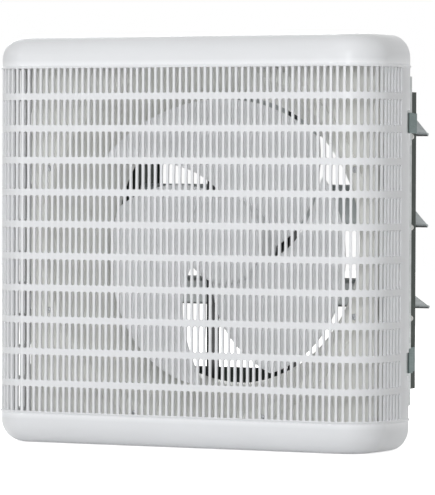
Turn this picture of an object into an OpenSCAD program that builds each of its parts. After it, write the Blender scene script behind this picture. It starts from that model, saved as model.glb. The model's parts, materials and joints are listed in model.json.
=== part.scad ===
// Through-wall exhaust fan with a wrap-around lattice cover and a three-vane rear shutter.
// Millimetres. X runs right, Y runs from the room to the outside, Z is up.
// The origin is the middle of the wall plane, on the fan's axis.

/* [Cover] */
// Width of the cover, seen from the room
cover_w = 452; // [448:1:480]
// Height of the cover
cover_h = 430; // [428:1:450]
// Depth of the cover in front of the wall
cover_d = 95; // [85:1:120]
// Wall of the moulded cover
cover_t = 2.6; // [2:0.1:3.2]
// Rounding of the top and bottom edges of the caps
cap_round = 24; // [12:1:28]
// Height of the raised bead where a cap meets the lattice
bead_h = 4; // [2:0.5:6]
// How far the bead stands out
bead_out = 1.2; // [0.6:0.1:2]

/* [Lattice] */
// Height from one row of slots to the next
row_pitch = 33.6; // [32:0.1:33.8]
// Height of a slot
slot_h = 27; // [18:0.1:28.5]
// Distance from one slot to the next
slot_pitch = 7.29; // [7:0.01:7.4]
// Width of a slot
slot_w = 4.6; // [3:0.1:5]
// Slots on each straight side of the cover
side_slots = 5; // [3:1:5]
// Thickness of the lattice bars
lattice_t = 2.2; // [1.8:0.1:3.2]
// Height of the hand notches in the side edges
notch_h = 24; // [16:1:30]
// Depth of the hand notches
notch_d = 7; // [4:0.5:9]
// Height of the hand notches above and below the middle
notch_z = 125; // [110:1:140]

/* [Body] */
// Distance of the orifice panel in front of the wall
panel_y = 38; // [36:1:42]
// Gap from the cover's sides to the body box
side_gap = 21; // [19:1:23]
// Gap from the cover's top and bottom to the body box
end_gap = 12; // [10:1:12]
// Sheet thickness of the body
sheet = 1.2; // [0.8:0.1:1.6]
// Thickness of the back plate
plate_t = 1.6; // [1.2:0.1:2]
// Gap from the cover to the edge of the back plate
plate_gap = 7; // [6:1:8]
// Distance of the wall screw holes from the plate's edge
hole_inset = 7; // [6:0.5:7.5]
// Half spacing of the wall screw holes, up and down
wall_hole_z = 150; // [120:5:170]
// Radius of the wall screw holes
wall_hole_r = 2.75; // [2.25:0.25:3.25]

/* [Air path] */
// Radius of the throat
throat_r = 152.5; // [150:0.5:153.5]
// How much wider the mouth of the bell is, on the radius
flare = 36; // [30:0.5:36.5]
// Where the straight throat starts, behind the wall plane
throat_y0 = 34; // [30:1:36]
// Where the straight throat ends
throat_y1 = 57; // [50:1:62]
// Wall of the bell mouth
bell_t = 1.2; // [1:0.1:1.6]
// Rounding of the bell's lip
lip_r = 7; // [5:0.5:8]
// Rounding where the bell runs into the throat
waist_r = 30; // [20:1:50]
// Room between the throat and the square wall sleeve
sleeve_room = 22; // [20.5:0.5:24]
// Where the wall sleeve ends
sleeve_y1 = 112; // [110:1:115]
// Width of the foam strip round the sleeve
foam_w = 12; // [8:1:16]
// Height of the foam strip round the sleeve
foam_h = 6; // [4:1:6]

/* [Fan wheel] */
// Radius of the blade tips
tip_r = 147.5; // [140:0.5:149]
// How much wider the blades are at their leading edge
tip_flare = 5.5; // [0:0.5:7]
// Radius of the hub
hub_r = 46; // [42:1:50]
// Front of the spinner cap
cap_y = 6; // [2:1:10]
// Front edge of the hub
hub_y0 = 15; // [13:1:18]
// Rear edge of the hub
hub_y1 = 50; // [46:1:54]
// Number of blades
blade_n = 3; // [3:1:3]
// Thickness of a blade
blade_t = 2.2; // [1.6:0.1:3]
// Turn of the wheel: angle of the first blade tip
tip_turn = 27; // [0:1:119]
// Front edge of a blade at its tip, measured from the wall plane
lead_tip_y = -20; // [-24:1:-8]
// Front edge of a blade at the hub
lead_hub_y = 18; // [16:1:24]
// Rear edge of a blade at its tip
trail_tip_y = 42; // [30:1:46]
// Rear edge of a blade at the hub
trail_hub_y = 46; // [40:1:48]

/* [Motor] */
// Radius of the motor can
can_r = 42; // [40:1:45]
// Front of the motor
can_y0 = 56; // [54:1:60]
// Rear of the motor can
can_y1 = 102; // [96:1:106]
// Radius of the motor shaft
shaft_r = 5; // [4:0.5:6]
// Running clearance of the shaft, radial
run_gap = 0.08; // [0.05:0.01:0.1]

/* [Electrics] */
// Height of the terminal block, from the fan's axis
terminal_z = -118; // [-124:1:-116]
// Height of the cable gland
gland_z = -186; // [-187:1:-184]
// Distance of the cable gland from the side of the body box
gland_inset = 17; // [16:0.5:18]
// Radius of the gland's hole in the back plate
gland_r = 11; // [9:0.5:12]
// Radius of the cable opening
cable_r = 6; // [4:0.5:7]
// Radius of the run capacitor
can_cap_r = 14; // [12:0.5:14.5]
// Length of the run capacitor
can_cap_l = 66; // [50:1:70]
// Height of the lower end of the run capacitor
can_cap_z = -174; // [-180:1:-172]

/* [Shutter] */
// How much wider the square shutter frame is than the throat, each side
frame_room = 6.1; // [5.5:0.1:7]
// Front edge of the shutter frame
frame_y0 = 106; // [104:1:108]
// Rear edge of the shutter frame
frame_y1 = 155.5; // [152:0.5:165]
// Distance of the vane hinges behind the wall
hinge_y = 120; // [118:1:126]
// Height of the top hinge
hinge_z = 153; // [150:0.5:153]
// Drop from one hinge to the next
hinge_pitch = 98.5; // [97:0.5:99]
// Length of a vane below its hinge
vane_l = 86; // [78:0.5:86.5]
// Sheet thickness of a vane
vane_t = 1; // [0.8:0.1:1.2]
// Opening of the two upper vanes from hanging
vane_open = 62.5; // [10:0.1:66]
// How much further the bottom vane turns
low_ratio = 1.128; // [1:0.001:1.14]
// Radius of the crank that carries the tie bar
crank_r = 18; // [16:1:20]
// Radius of the hinge pins
pin_r = 2; // [1.6:0.1:2.4]

/* [Hidden] */
$fn = 72;
eps = 0.01;
least_corner = 43;
least_cap = 30;
front_slots = 2 * floor((cover_w / 2 - least_corner) / slot_pitch);
row_n = floor((cover_h - 2 * least_cap) / row_pitch);
flat_half = front_slots / 2 * slot_pitch;
box_x = cover_w / 2 - side_gap;
box_z = cover_h / 2 - end_gap;
plate_x = cover_w / 2 - plate_gap;
plate_z = cover_h / 2 - plate_gap;
wall_hole_x = plate_x - hole_inset;
plate_clip = cap_round / 3;
corner_r = cover_w / 2 - flat_half;
corner_y = -cover_d + corner_r;
rows_half = row_n * row_pitch / 2;
cap_foot = rows_half;
cap_top = cover_h / 2;
corner_arc = corner_r * PI / 2;
corner_slots = floor(corner_arc / slot_pitch);
mouth_r = throat_r + flare;
bell_lean = atan(flare / (throat_y0 + panel_y + bell_t));
panel_hole_r = mouth_r + lip_r * tan((90 - bell_lean) / 2) + 0.2;
bell_screw_r = panel_hole_r + 4.8;
flange_r = bell_screw_r + 4.8;
gland_x = box_x - gland_inset;
terminal_x = box_x - 23;
sleeve_half = throat_r + sleeve_room;
sleeve_in = sleeve_half - sheet;
frame_half = throat_r + frame_room;
frame_in = frame_half - sheet;
rotor_r = can_r / 2;
stay_x = can_r + 6;
latch_z = 2 * row_pitch;
latch_half = 9;
vane_up = hinge_pitch - vane_l - 2.5;
vane_x = frame_in - 3.4;
low_open = vane_open * low_ratio;
pi_deg = 180 / PI;

// Turns a shape drawn round Z so that it lies round the fan's axis, with its height along Y.
module along_y() {
    rotate([-90, 0, 0]) children();
}

module y_cylinder(r, y0, y1) {
    translate([0, y0, 0]) along_y() cylinder(r = r, h = y1 - y0);
}

module y_tube(r_in, r_out, y0, y1) {
    difference() {
        y_cylinder(r_out, y0, y1);
        y_cylinder(r_in, y0 - 1, y1 + 1);
    }
}

module x_cylinder(r, x0, x1) {
    translate([x0, 0, 0]) rotate([0, 90, 0]) cylinder(r = r, h = x1 - x0);
}

// A box given by its two corners
module span(a, b) {
    translate(a) cube([b[0] - a[0], b[1] - a[1], b[2] - a[2]]);
}

// Points along an arc about a middle, from one angle to another
function arc(middle, r, a0, a1, steps) =
    [for (i = [0 : steps]) let (a = a0 + (a1 - a0) * i / steps) middle + r * [cos(a), sin(a)]];

// Head of a pan screw or a rivet, standing on Z 0
module pan_head(r, h) {
    rotate_extrude() polygon([[0, 0], [r, 0], [r, 0.4 * h], [0.75 * r, 0.9 * h], [0.4 * r, h], [0, h]]);
}

// Outline of a small plate with its corners cut at an angle
module clipped_plate(w, l, c) {
    polygon([[c, 0], [w - c, 0], [w, c], [w, l - c], [w - c, l], [c, l], [0, l - c], [0, c]]);
}

function row_z(i) = (i - (row_n - 1) / 2) * row_pitch;

// Flat panel, one strip of slots for each row
module front_grille() {
    color([0.93, 0.94, 0.94])
        for (i = [0 : row_n - 1]) translate([0, 0, row_z(i)]) grille_row();
}

module grille_row() {
    difference() {
        span([-flat_half, -cover_d, -row_pitch / 2], [flat_half, -cover_d + lattice_t, row_pitch / 2]);
        for (k = [0 : front_slots - 1])
            translate([(k - (front_slots - 1) / 2) * slot_pitch, -cover_d + lattice_t / 2, 0])
                cube([slot_w, lattice_t + 2, slot_h], center = true);
    }
}

// Corner lattice: a quarter of a tube, slots cut square to the surface
module corner_grille() {
    difference() {
        translate([flat_half, corner_y, -rows_half])
            rotate([0, 0, -90])
                rotate_extrude(angle = 90)
                    translate([corner_r - lattice_t, 0])
                        square([lattice_t, 2 * rows_half]);
        for (k = [0 : corner_slots]) corner_slot_column((k + 0.5) * slot_pitch);
    }
}

module corner_slot_column(arc) {
    for (i = [0 : row_n - 1])
        translate([flat_half, corner_y, row_z(i)])
            rotate([0, 0, -90 + arc / corner_r * pi_deg])
                translate([corner_r, 0, 0])
                    cube([2 * lattice_t + 2, slot_w, slot_h], center = true);
}

// Straight side of the cover: slots that carry on the pitch of the corner, then a plain band
module side_grille() {
    difference() {
        span([cover_w / 2 - lattice_t, corner_y, -rows_half], [cover_w / 2, 0, rows_half]);
        for (k = [0 : side_slots - 1]) for (i = [0 : row_n - 1])
            translate([cover_w / 2, side_slot_y(k), row_z(i)])
                cube([2 * lattice_t + 2, slot_w, slot_h], center = true);
        for (s = [-1, 1])
            span([cover_w / 2 - lattice_t - 1, -notch_d, s * notch_z - notch_h / 2],
                [cover_w / 2 + 1, 1, s * notch_z + notch_h / 2]);
    }
}

function side_slot_y(k) = corner_y + (corner_slots + k + 0.5) * slot_pitch - corner_arc;

module corner_grille_right() {
    color([0.93, 0.94, 0.94]) corner_grille();
}

module corner_grille_left() {
    color([0.93, 0.94, 0.94]) mirror([1, 0, 0]) corner_grille();
}

module side_grille_right() {
    color([0.93, 0.94, 0.94]) side_grille();
}

module side_grille_left() {
    color([0.93, 0.94, 0.94]) mirror([1, 0, 0]) side_grille();
}

// Wall of a cap in section: flat top, quarter round, side, and the bead at its foot
module cap_section() {
    h = cap_top - cap_foot;
    r = corner_r;
    e = cap_round;
    translate([0, h - cover_t]) square([r - e, cover_t]);
    translate([r - e, h - e])
        intersection() {
            difference() {
                circle(r = e);
                circle(r = e - cover_t);
            }
            square([e + 1, e + 1]);
        }
    translate([r - cover_t, 0]) square([cover_t, h - e]);
    translate([r, -bead_h])
        polygon([[0, 0], [bead_out / 2, 0], [bead_out, bead_out / 2], [bead_out, bead_h + 2 - bead_out / 2],
            [bead_out / 2, bead_h + 2], [0, bead_h + 2]]);
}

// A cap: straight front, two round corners, two straight sides and the flat top
module cap() {
    translate([0, 0, cap_foot]) {
        translate([-flat_half, corner_y, 0])
            rotate([90, 0, 90]) mirror([1, 0, 0])
                linear_extrude(height = 2 * flat_half) cap_section();
        for (s = [0, 1]) mirror([s, 0, 0]) {
            translate([flat_half, corner_y, 0])
                rotate([0, 0, -90]) rotate_extrude(angle = 90) cap_section();
            translate([flat_half, 0, 0])
                rotate([90, 0, 0]) linear_extrude(height = -corner_y) cap_section();
        }
        span([-flat_half, corner_y, cap_top - cap_foot - cover_t],
            [flat_half, 0, cap_top - cap_foot]);
    }
}

module top_cap() {
    color([0.95, 0.96, 0.96]) cap();
}

module bottom_cap() {
    color([0.95, 0.96, 0.96]) mirror([0, 0, 1]) cap();
}

// Spring fingers on the sides of the cover that grip the body walls
module cover_latches() {
    color([0.9, 0.91, 0.91])
        for (a = [0, 1]) mirror([a, 0, 0])
            for (z = [-latch_z, latch_z]) translate([0, 0, z]) {
                span([cover_w / 2 - lattice_t - 2, -14, -latch_half], [cover_w / 2 - lattice_t, -6, latch_half]);
                span([box_x + 0.6, -14, -latch_half], [cover_w / 2 - lattice_t - 2, -12, latch_half]);
                span([box_x + 0.6, -30, -latch_half], [box_x + 2.2, -12, latch_half]);
            }
}

function ring_at(r, a) = [r * cos(a), r * sin(a)];

// Front panel of the body with the round opening for the bell
module orifice_panel() {
    color([0.82, 0.84, 0.84])
        difference() {
            span([-box_x, -panel_y, -box_z], [box_x, -panel_y + sheet, box_z]);
            y_cylinder(panel_hole_r, -panel_y - 1, -panel_y + sheet + 1);
            bell_screw_holes(2.1);
        }
}

module bell_screw_holes(r) {
    for (k = [0 : 7]) {
        p = ring_at(bell_screw_r, 22.5 + 45 * k);
        translate([p[0], 0, p[1]]) y_cylinder(r, -panel_y - 6, -panel_y + 6);
    }
}

module body_walls() {
    color([0.8, 0.82, 0.82])
        difference() {
            span([-box_x, -panel_y + sheet, -box_z], [box_x, -plate_t, box_z]);
            span([-box_x + sheet, -panel_y, -box_z + sheet], [box_x - sheet, 0, box_z - sheet]);
        }
}

// Plate against the wall, with clipped corners and the square opening for the sleeve
module back_plate() {
    x = plate_x;
    z = plate_z;
    c = plate_clip;
    color([0.78, 0.8, 0.8])
        difference() {
            rotate([90, 0, 0]) linear_extrude(height = plate_t)
                polygon([[c - x, -z], [x - c, -z], [x, c - z], [x, z - c],
                    [x - c, z], [c - x, z], [-x, z - c], [-x, c - z]]);
            span([-sleeve_half, -plate_t - 1, -sleeve_half], [sleeve_half, 1, sleeve_half]);
            for (x = [-1, 1]) for (z = [-1, 1])
                translate([x * wall_hole_x, 0, z * wall_hole_z])
                    y_cylinder(wall_hole_r, -plate_t - 1, 1);
            translate([gland_x, 0, gland_z]) y_cylinder(gland_r, -plate_t - 1, 1);
        }
}

// Section of the bell: flat flange, rolled lip, cone, waist and straight throat
module bell_section() {
    front = -panel_y - bell_t;
    lip = [mouth_r + lip_r * tan((90 - bell_lean) / 2), front + lip_r];
    waist = [throat_r + waist_r, throat_y0 + waist_r * tan(bell_lean / 2)];
    polygon(concat(
        [[throat_r, throat_y1]],
        arc(waist, waist_r, 180, 180 + bell_lean, 6),
        arc(lip, lip_r, 180 + bell_lean, 270, 8),
        [[flange_r, front], [flange_r, -panel_y]],
        arc(lip, lip_r - bell_t, 270, 180 + bell_lean, 8),
        arc(waist, waist_r - bell_t, 180 + bell_lean, 180, 6),
        [[throat_r + bell_t, throat_y1]]));
}

module bell_mouth() {
    color([0.88, 0.9, 0.9])
        difference() {
            along_y() rotate_extrude() bell_section();
            bell_screw_holes(2.1);
        }
}

module bell_screws() {
    color([0.7, 0.7, 0.7])
        for (k = [0 : 7]) {
            p = ring_at(bell_screw_r, 22.5 + 45 * k);
            translate([p[0], 0, p[1]]) {
                translate([0, -panel_y - bell_t, 0]) rotate([90, 0, 0]) pan_head(3.4, 2);
                y_cylinder(2, -panel_y - bell_t - 1, -panel_y + 5);
            }
        }
}

// Top or bottom wall of the square sleeve, with its two folded seams
module sleeve_wall(turn) {
    rotate([0, turn, 0])
        difference() {
            union() {
                span([-sleeve_half, 0, sleeve_in], [sleeve_half, sleeve_y1, sleeve_half]);
                for (s = [0, 1]) mirror([s, 0, 0])
                    span([sleeve_in, 0, sleeve_in - 12], [sleeve_half, sleeve_y1, sleeve_half]);
            }
            stay_screw_hole(2.1);
        }
}

module stay_screw_hole(r) {
    for (x = stay_screw_x())
        translate([x, stay_y(), sleeve_in - 6]) cylinder(r = r, h = 14);
}

function stay_screw_x() = [-stay_x - 18, -stay_x - 9, stay_x + 9, stay_x + 18];

function stay_y() = (can_y0 + can_y1) / 2 + 5;

module sleeve_top() {
    color([0.72, 0.75, 0.74]) sleeve_wall(0);
}

module sleeve_bottom() {
    color([0.72, 0.75, 0.74]) sleeve_wall(180);
}

module side_wall(s) {
    mirror([s, 0, 0])
        span([sleeve_in, 0, -sleeve_in + 12], [sleeve_half, sleeve_y1, sleeve_in - 12]);
}

module sleeve_left() {
    color([0.72, 0.75, 0.74]) side_wall(1);
}

module sleeve_right() {
    color([0.72, 0.75, 0.74]) side_wall(0);
}

// Foam strip round the sleeve that closes the gap to the wall opening
module foam_seal() {
    y = 20;
    out = sleeve_half + foam_h;
    color([0.3, 0.31, 0.32])
        difference() {
            span([-out, y, -out], [out, y + foam_w, out]);
            span([-sleeve_half, y - 1, -sleeve_half], [sleeve_half, y + foam_w + 1, sleeve_half]);
        }
}

// Two upright flat bars from the floor to the roof of the sleeve, each with two feet
module motor_stays() {
    y = stay_y();
    color([0.55, 0.58, 0.58])
        for (s = [0, 1]) mirror([s, 0, 0])
            difference() {
                union() {
                    span([stay_x, y - 13, -sleeve_in], [stay_x + 2, y + 13, sleeve_in]);
                    for (t = [0, 1]) mirror([0, 0, t])
                        span([stay_x, y - 13, sleeve_in - 2], [stay_x + 25, y + 13, sleeve_in]);
                }
                for (a = [0, 180]) rotate([0, a, 0]) stay_screw_hole(2.1);
            }
}

module stay_screws() {
    color([0.7, 0.7, 0.7])
        for (a = [0, 180]) rotate([0, a, 0])
            for (x = stay_screw_x()) translate([x, stay_y(), 0]) {
                translate([0, 0, sleeve_in - 2]) rotate([180, 0, 0]) pan_head(3.4, 2);
                translate([0, 0, sleeve_in - 3]) cylinder(r = 2, h = sheet + 3);
            }
}

module rubber_mounts() {
    color([0.12, 0.12, 0.13])
        for (s = [0, 1]) mirror([s, 0, 0])
            translate([0, stay_y(), 0]) x_cylinder(9, stay_x - 3, stay_x);
}

// Clamp band round the motor with two flat pads for the rubbers
module motor_band() {
    y = stay_y();
    color([0.6, 0.62, 0.62])
        difference() {
            union() {
                y_cylinder(can_r + 1.6, y - 10, y + 10);
                for (s = [0, 1]) mirror([s, 0, 0])
                    span([can_r - 6, y - 10, -11], [stay_x - 3, y + 10, 11]);
            }
            y_cylinder(can_r, y - 11, y + 11);
        }
}

module motor_can() {
    color([0.25, 0.27, 0.28])
        y_tube(can_r - 1.6, can_r, can_y0 + 4, can_y1);
}

// Front end cap: bearing boss with the shaft hole, flat web and the rim that plugs into the can
module motor_front_cap() {
    y = can_y0;
    plug = can_r - 1.6 - run_gap;
    color([0.66, 0.68, 0.69])
        along_y() rotate_extrude()
            polygon([[shaft_r + 1, y - 5], [15.5, y - 5], [17, y - 3.5], [17, y], [can_r - 3, y], [can_r, y + 2],
                [can_r, y + 4], [plug, y + 4], [plug, y + 8], [can_r - 5, y + 8], [can_r - 5, y + 4],
                [19, y + 4], [19, y + 8], [11, y + 8], [11, y - 2], [shaft_r + 1, y - 2]]);
}

// Rear end cap, closed over the bearing
module motor_rear_cap() {
    y = can_y1;
    plug = can_r - 1.6 - run_gap;
    color([0.66, 0.68, 0.69])
        along_y() rotate_extrude()
            polygon([[0, y + 8], [15.5, y + 8], [17, y + 6.5], [17, y + 4], [can_r - 3, y + 4], [can_r, y + 2],
                [can_r, y], [plug, y], [plug, y - 4], [can_r - 5, y - 4], [can_r - 5, y],
                [19, y], [19, y - 4], [11, y - 4], [11, y + 5], [0, y + 5]]);
}

module stator_core() {
    color([0.45, 0.46, 0.48])
        difference() {
            y_cylinder(can_r - 1.6, can_y0 + 15, can_y1 - 12);
            y_cylinder(rotor_r + 0.4, can_y0 + 14, can_y1 - 11);
            for (a = [0 : 30 : 330]) rotate([0, a, 0])
                span([-3, can_y0 + 14, rotor_r + 4], [3, can_y1 - 11, can_r - 9]);
        }
}

module stator_winding() {
    color([0.62, 0.33, 0.16])
        for (y = [can_y0 + 9, can_y1 - 12])
            y_tube(rotor_r + 4, can_r - 6, y, y + 6);
}

module bearing(y) {
    difference() {
        y_cylinder(11, y, y + 7);
        y_cylinder(shaft_r, y - 1, y + 8);
        y_tube(shaft_r + 2.2, 8.8, y - 1, y + 1);
        y_tube(shaft_r + 2.2, 8.8, y + 6, y + 8);
    }
}

module front_bearing() {
    color([0.75, 0.76, 0.78]) bearing(can_y0 - 2);
}

module rear_bearing() {
    color([0.75, 0.76, 0.78]) bearing(can_y1 - 2);
}

module motor_shaft() {
    color([0.7, 0.71, 0.73]) {
        y_cylinder(shaft_r - run_gap, hub_y0 + 2, can_y1 + 4.5);
        y_cylinder(shaft_r + 1.6, can_y0 + 6, can_y0 + 14);
    }
}

module rotor_core() {
    color([0.5, 0.51, 0.53])
        y_tube(shaft_r - run_gap, rotor_r, can_y0 + 14, can_y1 - 11);
}

// Share of the way out along a blade, 0 at the hub and 1 at the tip
function out(r) = (r - hub_r) / (tip_r - hub_r);

// Leading edge of a blade in degrees behind its tip, the sickle curve
function lead_angle(s) = -55 * pow(1 - s, 1.35);

// Trailing edge in degrees behind the tip
function trail_angle(s) = -158 + 58 * pow(s, 0.8);

// Point on the mean surface of a blade: s out along the blade, u from leading to trailing edge
function blade_point(s, u) =
    let (r = hub_r - 1.5 + s * (tip_r + tip_flare * (1 - u) - hub_r + 1.5),
        a = tip_turn + lead_angle(s) + u * (trail_angle(s) - lead_angle(s)),
        y0 = lead_hub_y + (lead_tip_y - lead_hub_y) * pow(s, 1.4),
        y1 = trail_hub_y + (trail_tip_y - trail_hub_y) * s,
        y = y0 + (y1 - y0) * (1 - pow(1 - u, 1.25)))
    [r * cos(a), y, r * sin(a)];

blade_rs = 11;
blade_us = 18;

// Thickness along the chord: thin edges, fuller near the front
function blade_half(u) = blade_t / 2 * (0.35 + 0.65 * sqrt(max(0, 1 - pow(2 * u - 0.8, 2) / 1.6)));

module blade() {
    nr = blade_rs + 1;
    nu = blade_us + 1;
    side = [for (t = [1, -1]) for (i = [0 : blade_rs]) for (j = [0 : blade_us])
        let (p = blade_point(i / blade_rs, j / blade_us))
        [p[0], p[1] + t * blade_half(j / blade_us), p[2]]];
    n = nr * nu;
    faces = concat(
        [for (i = [0 : blade_rs - 1]) for (j = [0 : blade_us - 1])
            let (a = i * nu + j) each [[a, a + 1, a + nu + 1], [a, a + nu + 1, a + nu]]],
        [for (i = [0 : blade_rs - 1]) for (j = [0 : blade_us - 1])
            let (a = n + i * nu + j) each [[a, a + nu + 1, a + 1], [a, a + nu, a + nu + 1]]],
        [for (i = [0 : blade_rs - 1]) for (j = [0, blade_us])
            let (a = i * nu + j, b = a + n, f = j > 0)
            each [f ? [a, b, b + nu] : [a, b + nu, b], f ? [a, b + nu, a + nu] : [a, a + nu, b + nu]]],
        [for (j = [0 : blade_us - 1]) for (i = [0, blade_rs])
            let (a = i * nu + j, b = a + n, f = i > 0)
            each [f ? [a, b + 1, b] : [a, b, b + 1], f ? [a, a + 1, b + 1] : [a, b + 1, a + 1]]]);
    polyhedron(points = side, faces = faces);
}

// Hub and blades in one moulding
module fan_wheel() {
    color([0.86, 0.88, 0.88]) {
        difference() {
            union() {
                y_tube(hub_r - 3, hub_r, hub_y0, hub_y1);
                y_cylinder(hub_r - 2, hub_y0 + 12, hub_y0 + 15);
                y_cylinder(13, hub_y0 + 8, hub_y0 + 34);
                for (a = [0 : 60 : 300]) rotate([0, a, 0])
                    span([-1.2, hub_y0 + 14, 12], [1.2, hub_y0 + 30, hub_r - 2]);
            }
            y_cylinder(9, hub_y0 + 7, hub_y0 + 35);
        }
        for (k = [0 : blade_n - 1]) rotate([0, -k * 360 / blade_n, 0]) blade();
    }
}

// Domed cap that closes the front of the hub
module spinner_cap() {
    rho = (hub_r * hub_r + 49) / 14;
    color([0.9, 0.91, 0.91])
        along_y() rotate_extrude() {
            intersection() {
                translate([0, cap_y + rho])
                    difference() {
                        circle(r = rho);
                        circle(r = rho - 2);
                    }
                translate([0, cap_y - 1]) square([hub_r, 10]);
            }
            translate([hub_r - 2, cap_y + 6]) square([2, hub_y0 - cap_y - 6]);
            translate([hub_r - 5.2, cap_y + 7]) square([2, hub_y0 - cap_y + 1]);
            translate([hub_r - 5.2, cap_y + 6.8]) square([4, 2]);
        }
}

module hub_bush() {
    color([0.72, 0.6, 0.3])
        y_tube(shaft_r - run_gap, 9, hub_y0 + 8, hub_y0 + 34);
}

module wheel_nut() {
    color([0.68, 0.69, 0.7])
        difference() {
            translate([0, hub_y0 + 3, 0]) along_y() cylinder(r = 8, h = 5, $fn = 6);
            y_cylinder(shaft_r - run_gap, hub_y0 + 2, hub_y0 + 9);
        }
}

cap_x = 23 - box_x;
cap_mid = -plate_t - can_cap_r - 2;

module capacitor() {
    color([0.85, 0.85, 0.82])
        translate([cap_x, cap_mid, can_cap_z]) {
            rotate_extrude()
                polygon([[0, 0], [can_cap_r - 1.5, 0], [can_cap_r, 1.5], [can_cap_r, can_cap_l - 4],
                    [can_cap_r - 1, can_cap_l - 3], [can_cap_r - 1, can_cap_l], [0, can_cap_l]]);
            for (x = [-4.5, 4.5]) span([x - 0.4, -3.1, can_cap_l - 1], [x + 0.4, 3.1, can_cap_l + 8]);
        }
}

// Strap that clamps the capacitor to the back plate
module capacitor_strap() {
    r = can_cap_r + 1.2;
    z = can_cap_z + can_cap_l / 2 - 8;
    color([0.6, 0.62, 0.62])
        difference() {
            union() {
                translate([cap_x, cap_mid, z]) cylinder(r = r, h = 16);
                span([cap_x - r, cap_mid, z], [cap_x + r, -plate_t, z + 16]);
            }
            translate([cap_x, cap_mid, z - 1]) cylinder(r = can_cap_r, h = 18);
            span([cap_x - r + 1.2, cap_mid, z - 1], [cap_x + r - 1.2, -plate_t - 1.2, z + 17]);
        }
}

module terminal_block() {
    color([0.88, 0.88, 0.85])
        translate([terminal_x, 0, terminal_z])
            difference() {
                span([-14, -24, -16], [14, -plate_t, 16]);
                for (z = [-8, 0, 8]) translate([0, 0, z]) y_cylinder(3, -25, -14);
            }
}

module terminal_cover() {
    color([0.75, 0.77, 0.77])
        translate([terminal_x, 0, terminal_z])
            difference() {
                translate([-18, -plate_t, -28]) rotate([90, 0, 0])
                    linear_extrude(height = 32 - plate_t) clipped_plate(36, 54, 3);
                span([-16.5, -30.5, -26.5], [16.5, 0, 24.5]);
                translate([0, -14, -34]) cylinder(r = 8, h = 12);
            }
}

module cable_gland() {
    color([0.16, 0.16, 0.17])
        translate([gland_x, 0, gland_z])
            difference() {
                union() {
                    y_cylinder(gland_r - 0.2, -plate_t - 7, 2);
                    translate([0, -plate_t - 4, 0]) along_y() cylinder(r = gland_r + 3, h = 4, $fn = 6);
                }
                y_cylinder(cable_r, -plate_t - 8, 3);
            }
}

// Section of the shutter frame: flange out to the sleeve, web, and a return at the rear
module frame_section() {
    polygon([[sleeve_in, frame_y0], [sleeve_in, frame_y0 + sheet], [frame_half, frame_y0 + sheet],
        [frame_half, frame_y1 - 0.8], [frame_half - 0.8, frame_y1], [frame_in - 2.4, frame_y1],
        [frame_in - 2.4, frame_y1 - sheet], [frame_in, frame_y1 - sheet], [frame_in, frame_y0 + 0.8],
        [frame_in + 0.8, frame_y0]]);
}

// One member of the frame, on the +X side, mitred at both ends
module frame_member() {
    long = sleeve_in;
    intersection() {
        translate([0, 0, -long]) linear_extrude(height = 2 * long) frame_section();
        translate([0, frame_y1 + 1, 0]) rotate([90, 0, 0])
            linear_extrude(height = frame_y1 - frame_y0 + 2) polygon([[0, 0], [long, -long], [long, long]]);
    }
}

// Upright member with the holes for the hinge bushes and the rivets
module frame_side() {
    difference() {
        frame_member();
        for (k = [0 : 2]) translate([frame_in - 6, hinge_y, hinge_z - k * hinge_pitch])
            rotate([0, 90, 0]) cylinder(r = 4, h = 12);
        for (z = rivet_z()) translate([frame_in - 3, rivet_y(), z])
            rotate([0, 90, 0]) cylinder(r = 1.6, h = 6);
    }
}

function rivet_y() = frame_y1 - 12.5;

function rivet_z() = [111, 14, -83];

module frame_right() {
    color([0.37, 0.39, 0.37]) frame_side();
}

module frame_left() {
    color([0.37, 0.39, 0.37]) mirror([1, 0, 0]) frame_side();
}

module frame_top() {
    color([0.37, 0.39, 0.37]) rotate([0, -90, 0]) frame_member();
}

// Lower member of the frame with the sill that the bottom vane closes against
module frame_bottom() {
    sill = hinge_z - 2 * hinge_pitch - vane_l - 9;
    color([0.37, 0.39, 0.37]) {
        rotate([0, 90, 0]) frame_member();
        span([-frame_in, hinge_y - 9, -frame_in], [frame_in, hinge_y - 9 + sheet, sill]);
        span([-frame_in, hinge_y - 9, sill - sheet], [frame_in, hinge_y - 5, sill]);
    }
}

// Bent steel clips on the frame's sides, in line with the notches of the cover
module clip(y0, y1, z0, z1, reach) {
    translate([frame_half, 0, z0])
        linear_extrude(height = z1 - z0)
            polygon([[0, y0], [reach - 0.8, y0], [reach, y0 + 0.8], [reach, y0 + 1.4], [2.2, y0 + 1.4],
                [1.4, y0 + 2.2], [1.4, y1 - 0.5], [0.9, y1], [0, y1]]);
}

module frame_clips() {
    y = frame_y1;
    color([0.46, 0.53, 0.53])
        for (a = [0, 1]) mirror([a, 0, 0]) {
            clip(y - 18.4, y - 0.6, 114.5, 136, 5);
            clip(y - 13.4, y - 3, -140, -114, 5);
        }
}

module frame_rivets() {
    color([0.97, 0.97, 0.96])
        for (a = [0, 1]) mirror([a, 0, 0])
            for (z = rivet_z()) translate([0, rivet_y(), z]) {
                x_cylinder(1.6, frame_in - 1, frame_half + 1);
                translate([frame_half, 0, 0]) rotate([0, 90, 0]) pan_head(2.8, 1.6);
            }
}

module hinge_bushes() {
    color([0.97, 0.97, 0.96])
        for (a = [0, 1]) mirror([a, 0, 0])
            for (k = [0 : 2]) translate([0, hinge_y, hinge_z - k * hinge_pitch])
                difference() {
                    union() {
                        x_cylinder(4, frame_in - 1.4, frame_half + 1);
                        x_cylinder(4.4, frame_in - 1.4, frame_in);
                    }
                    x_cylinder(pin_r + run_gap, frame_in - 2, frame_half + 2);
                }
}

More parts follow.
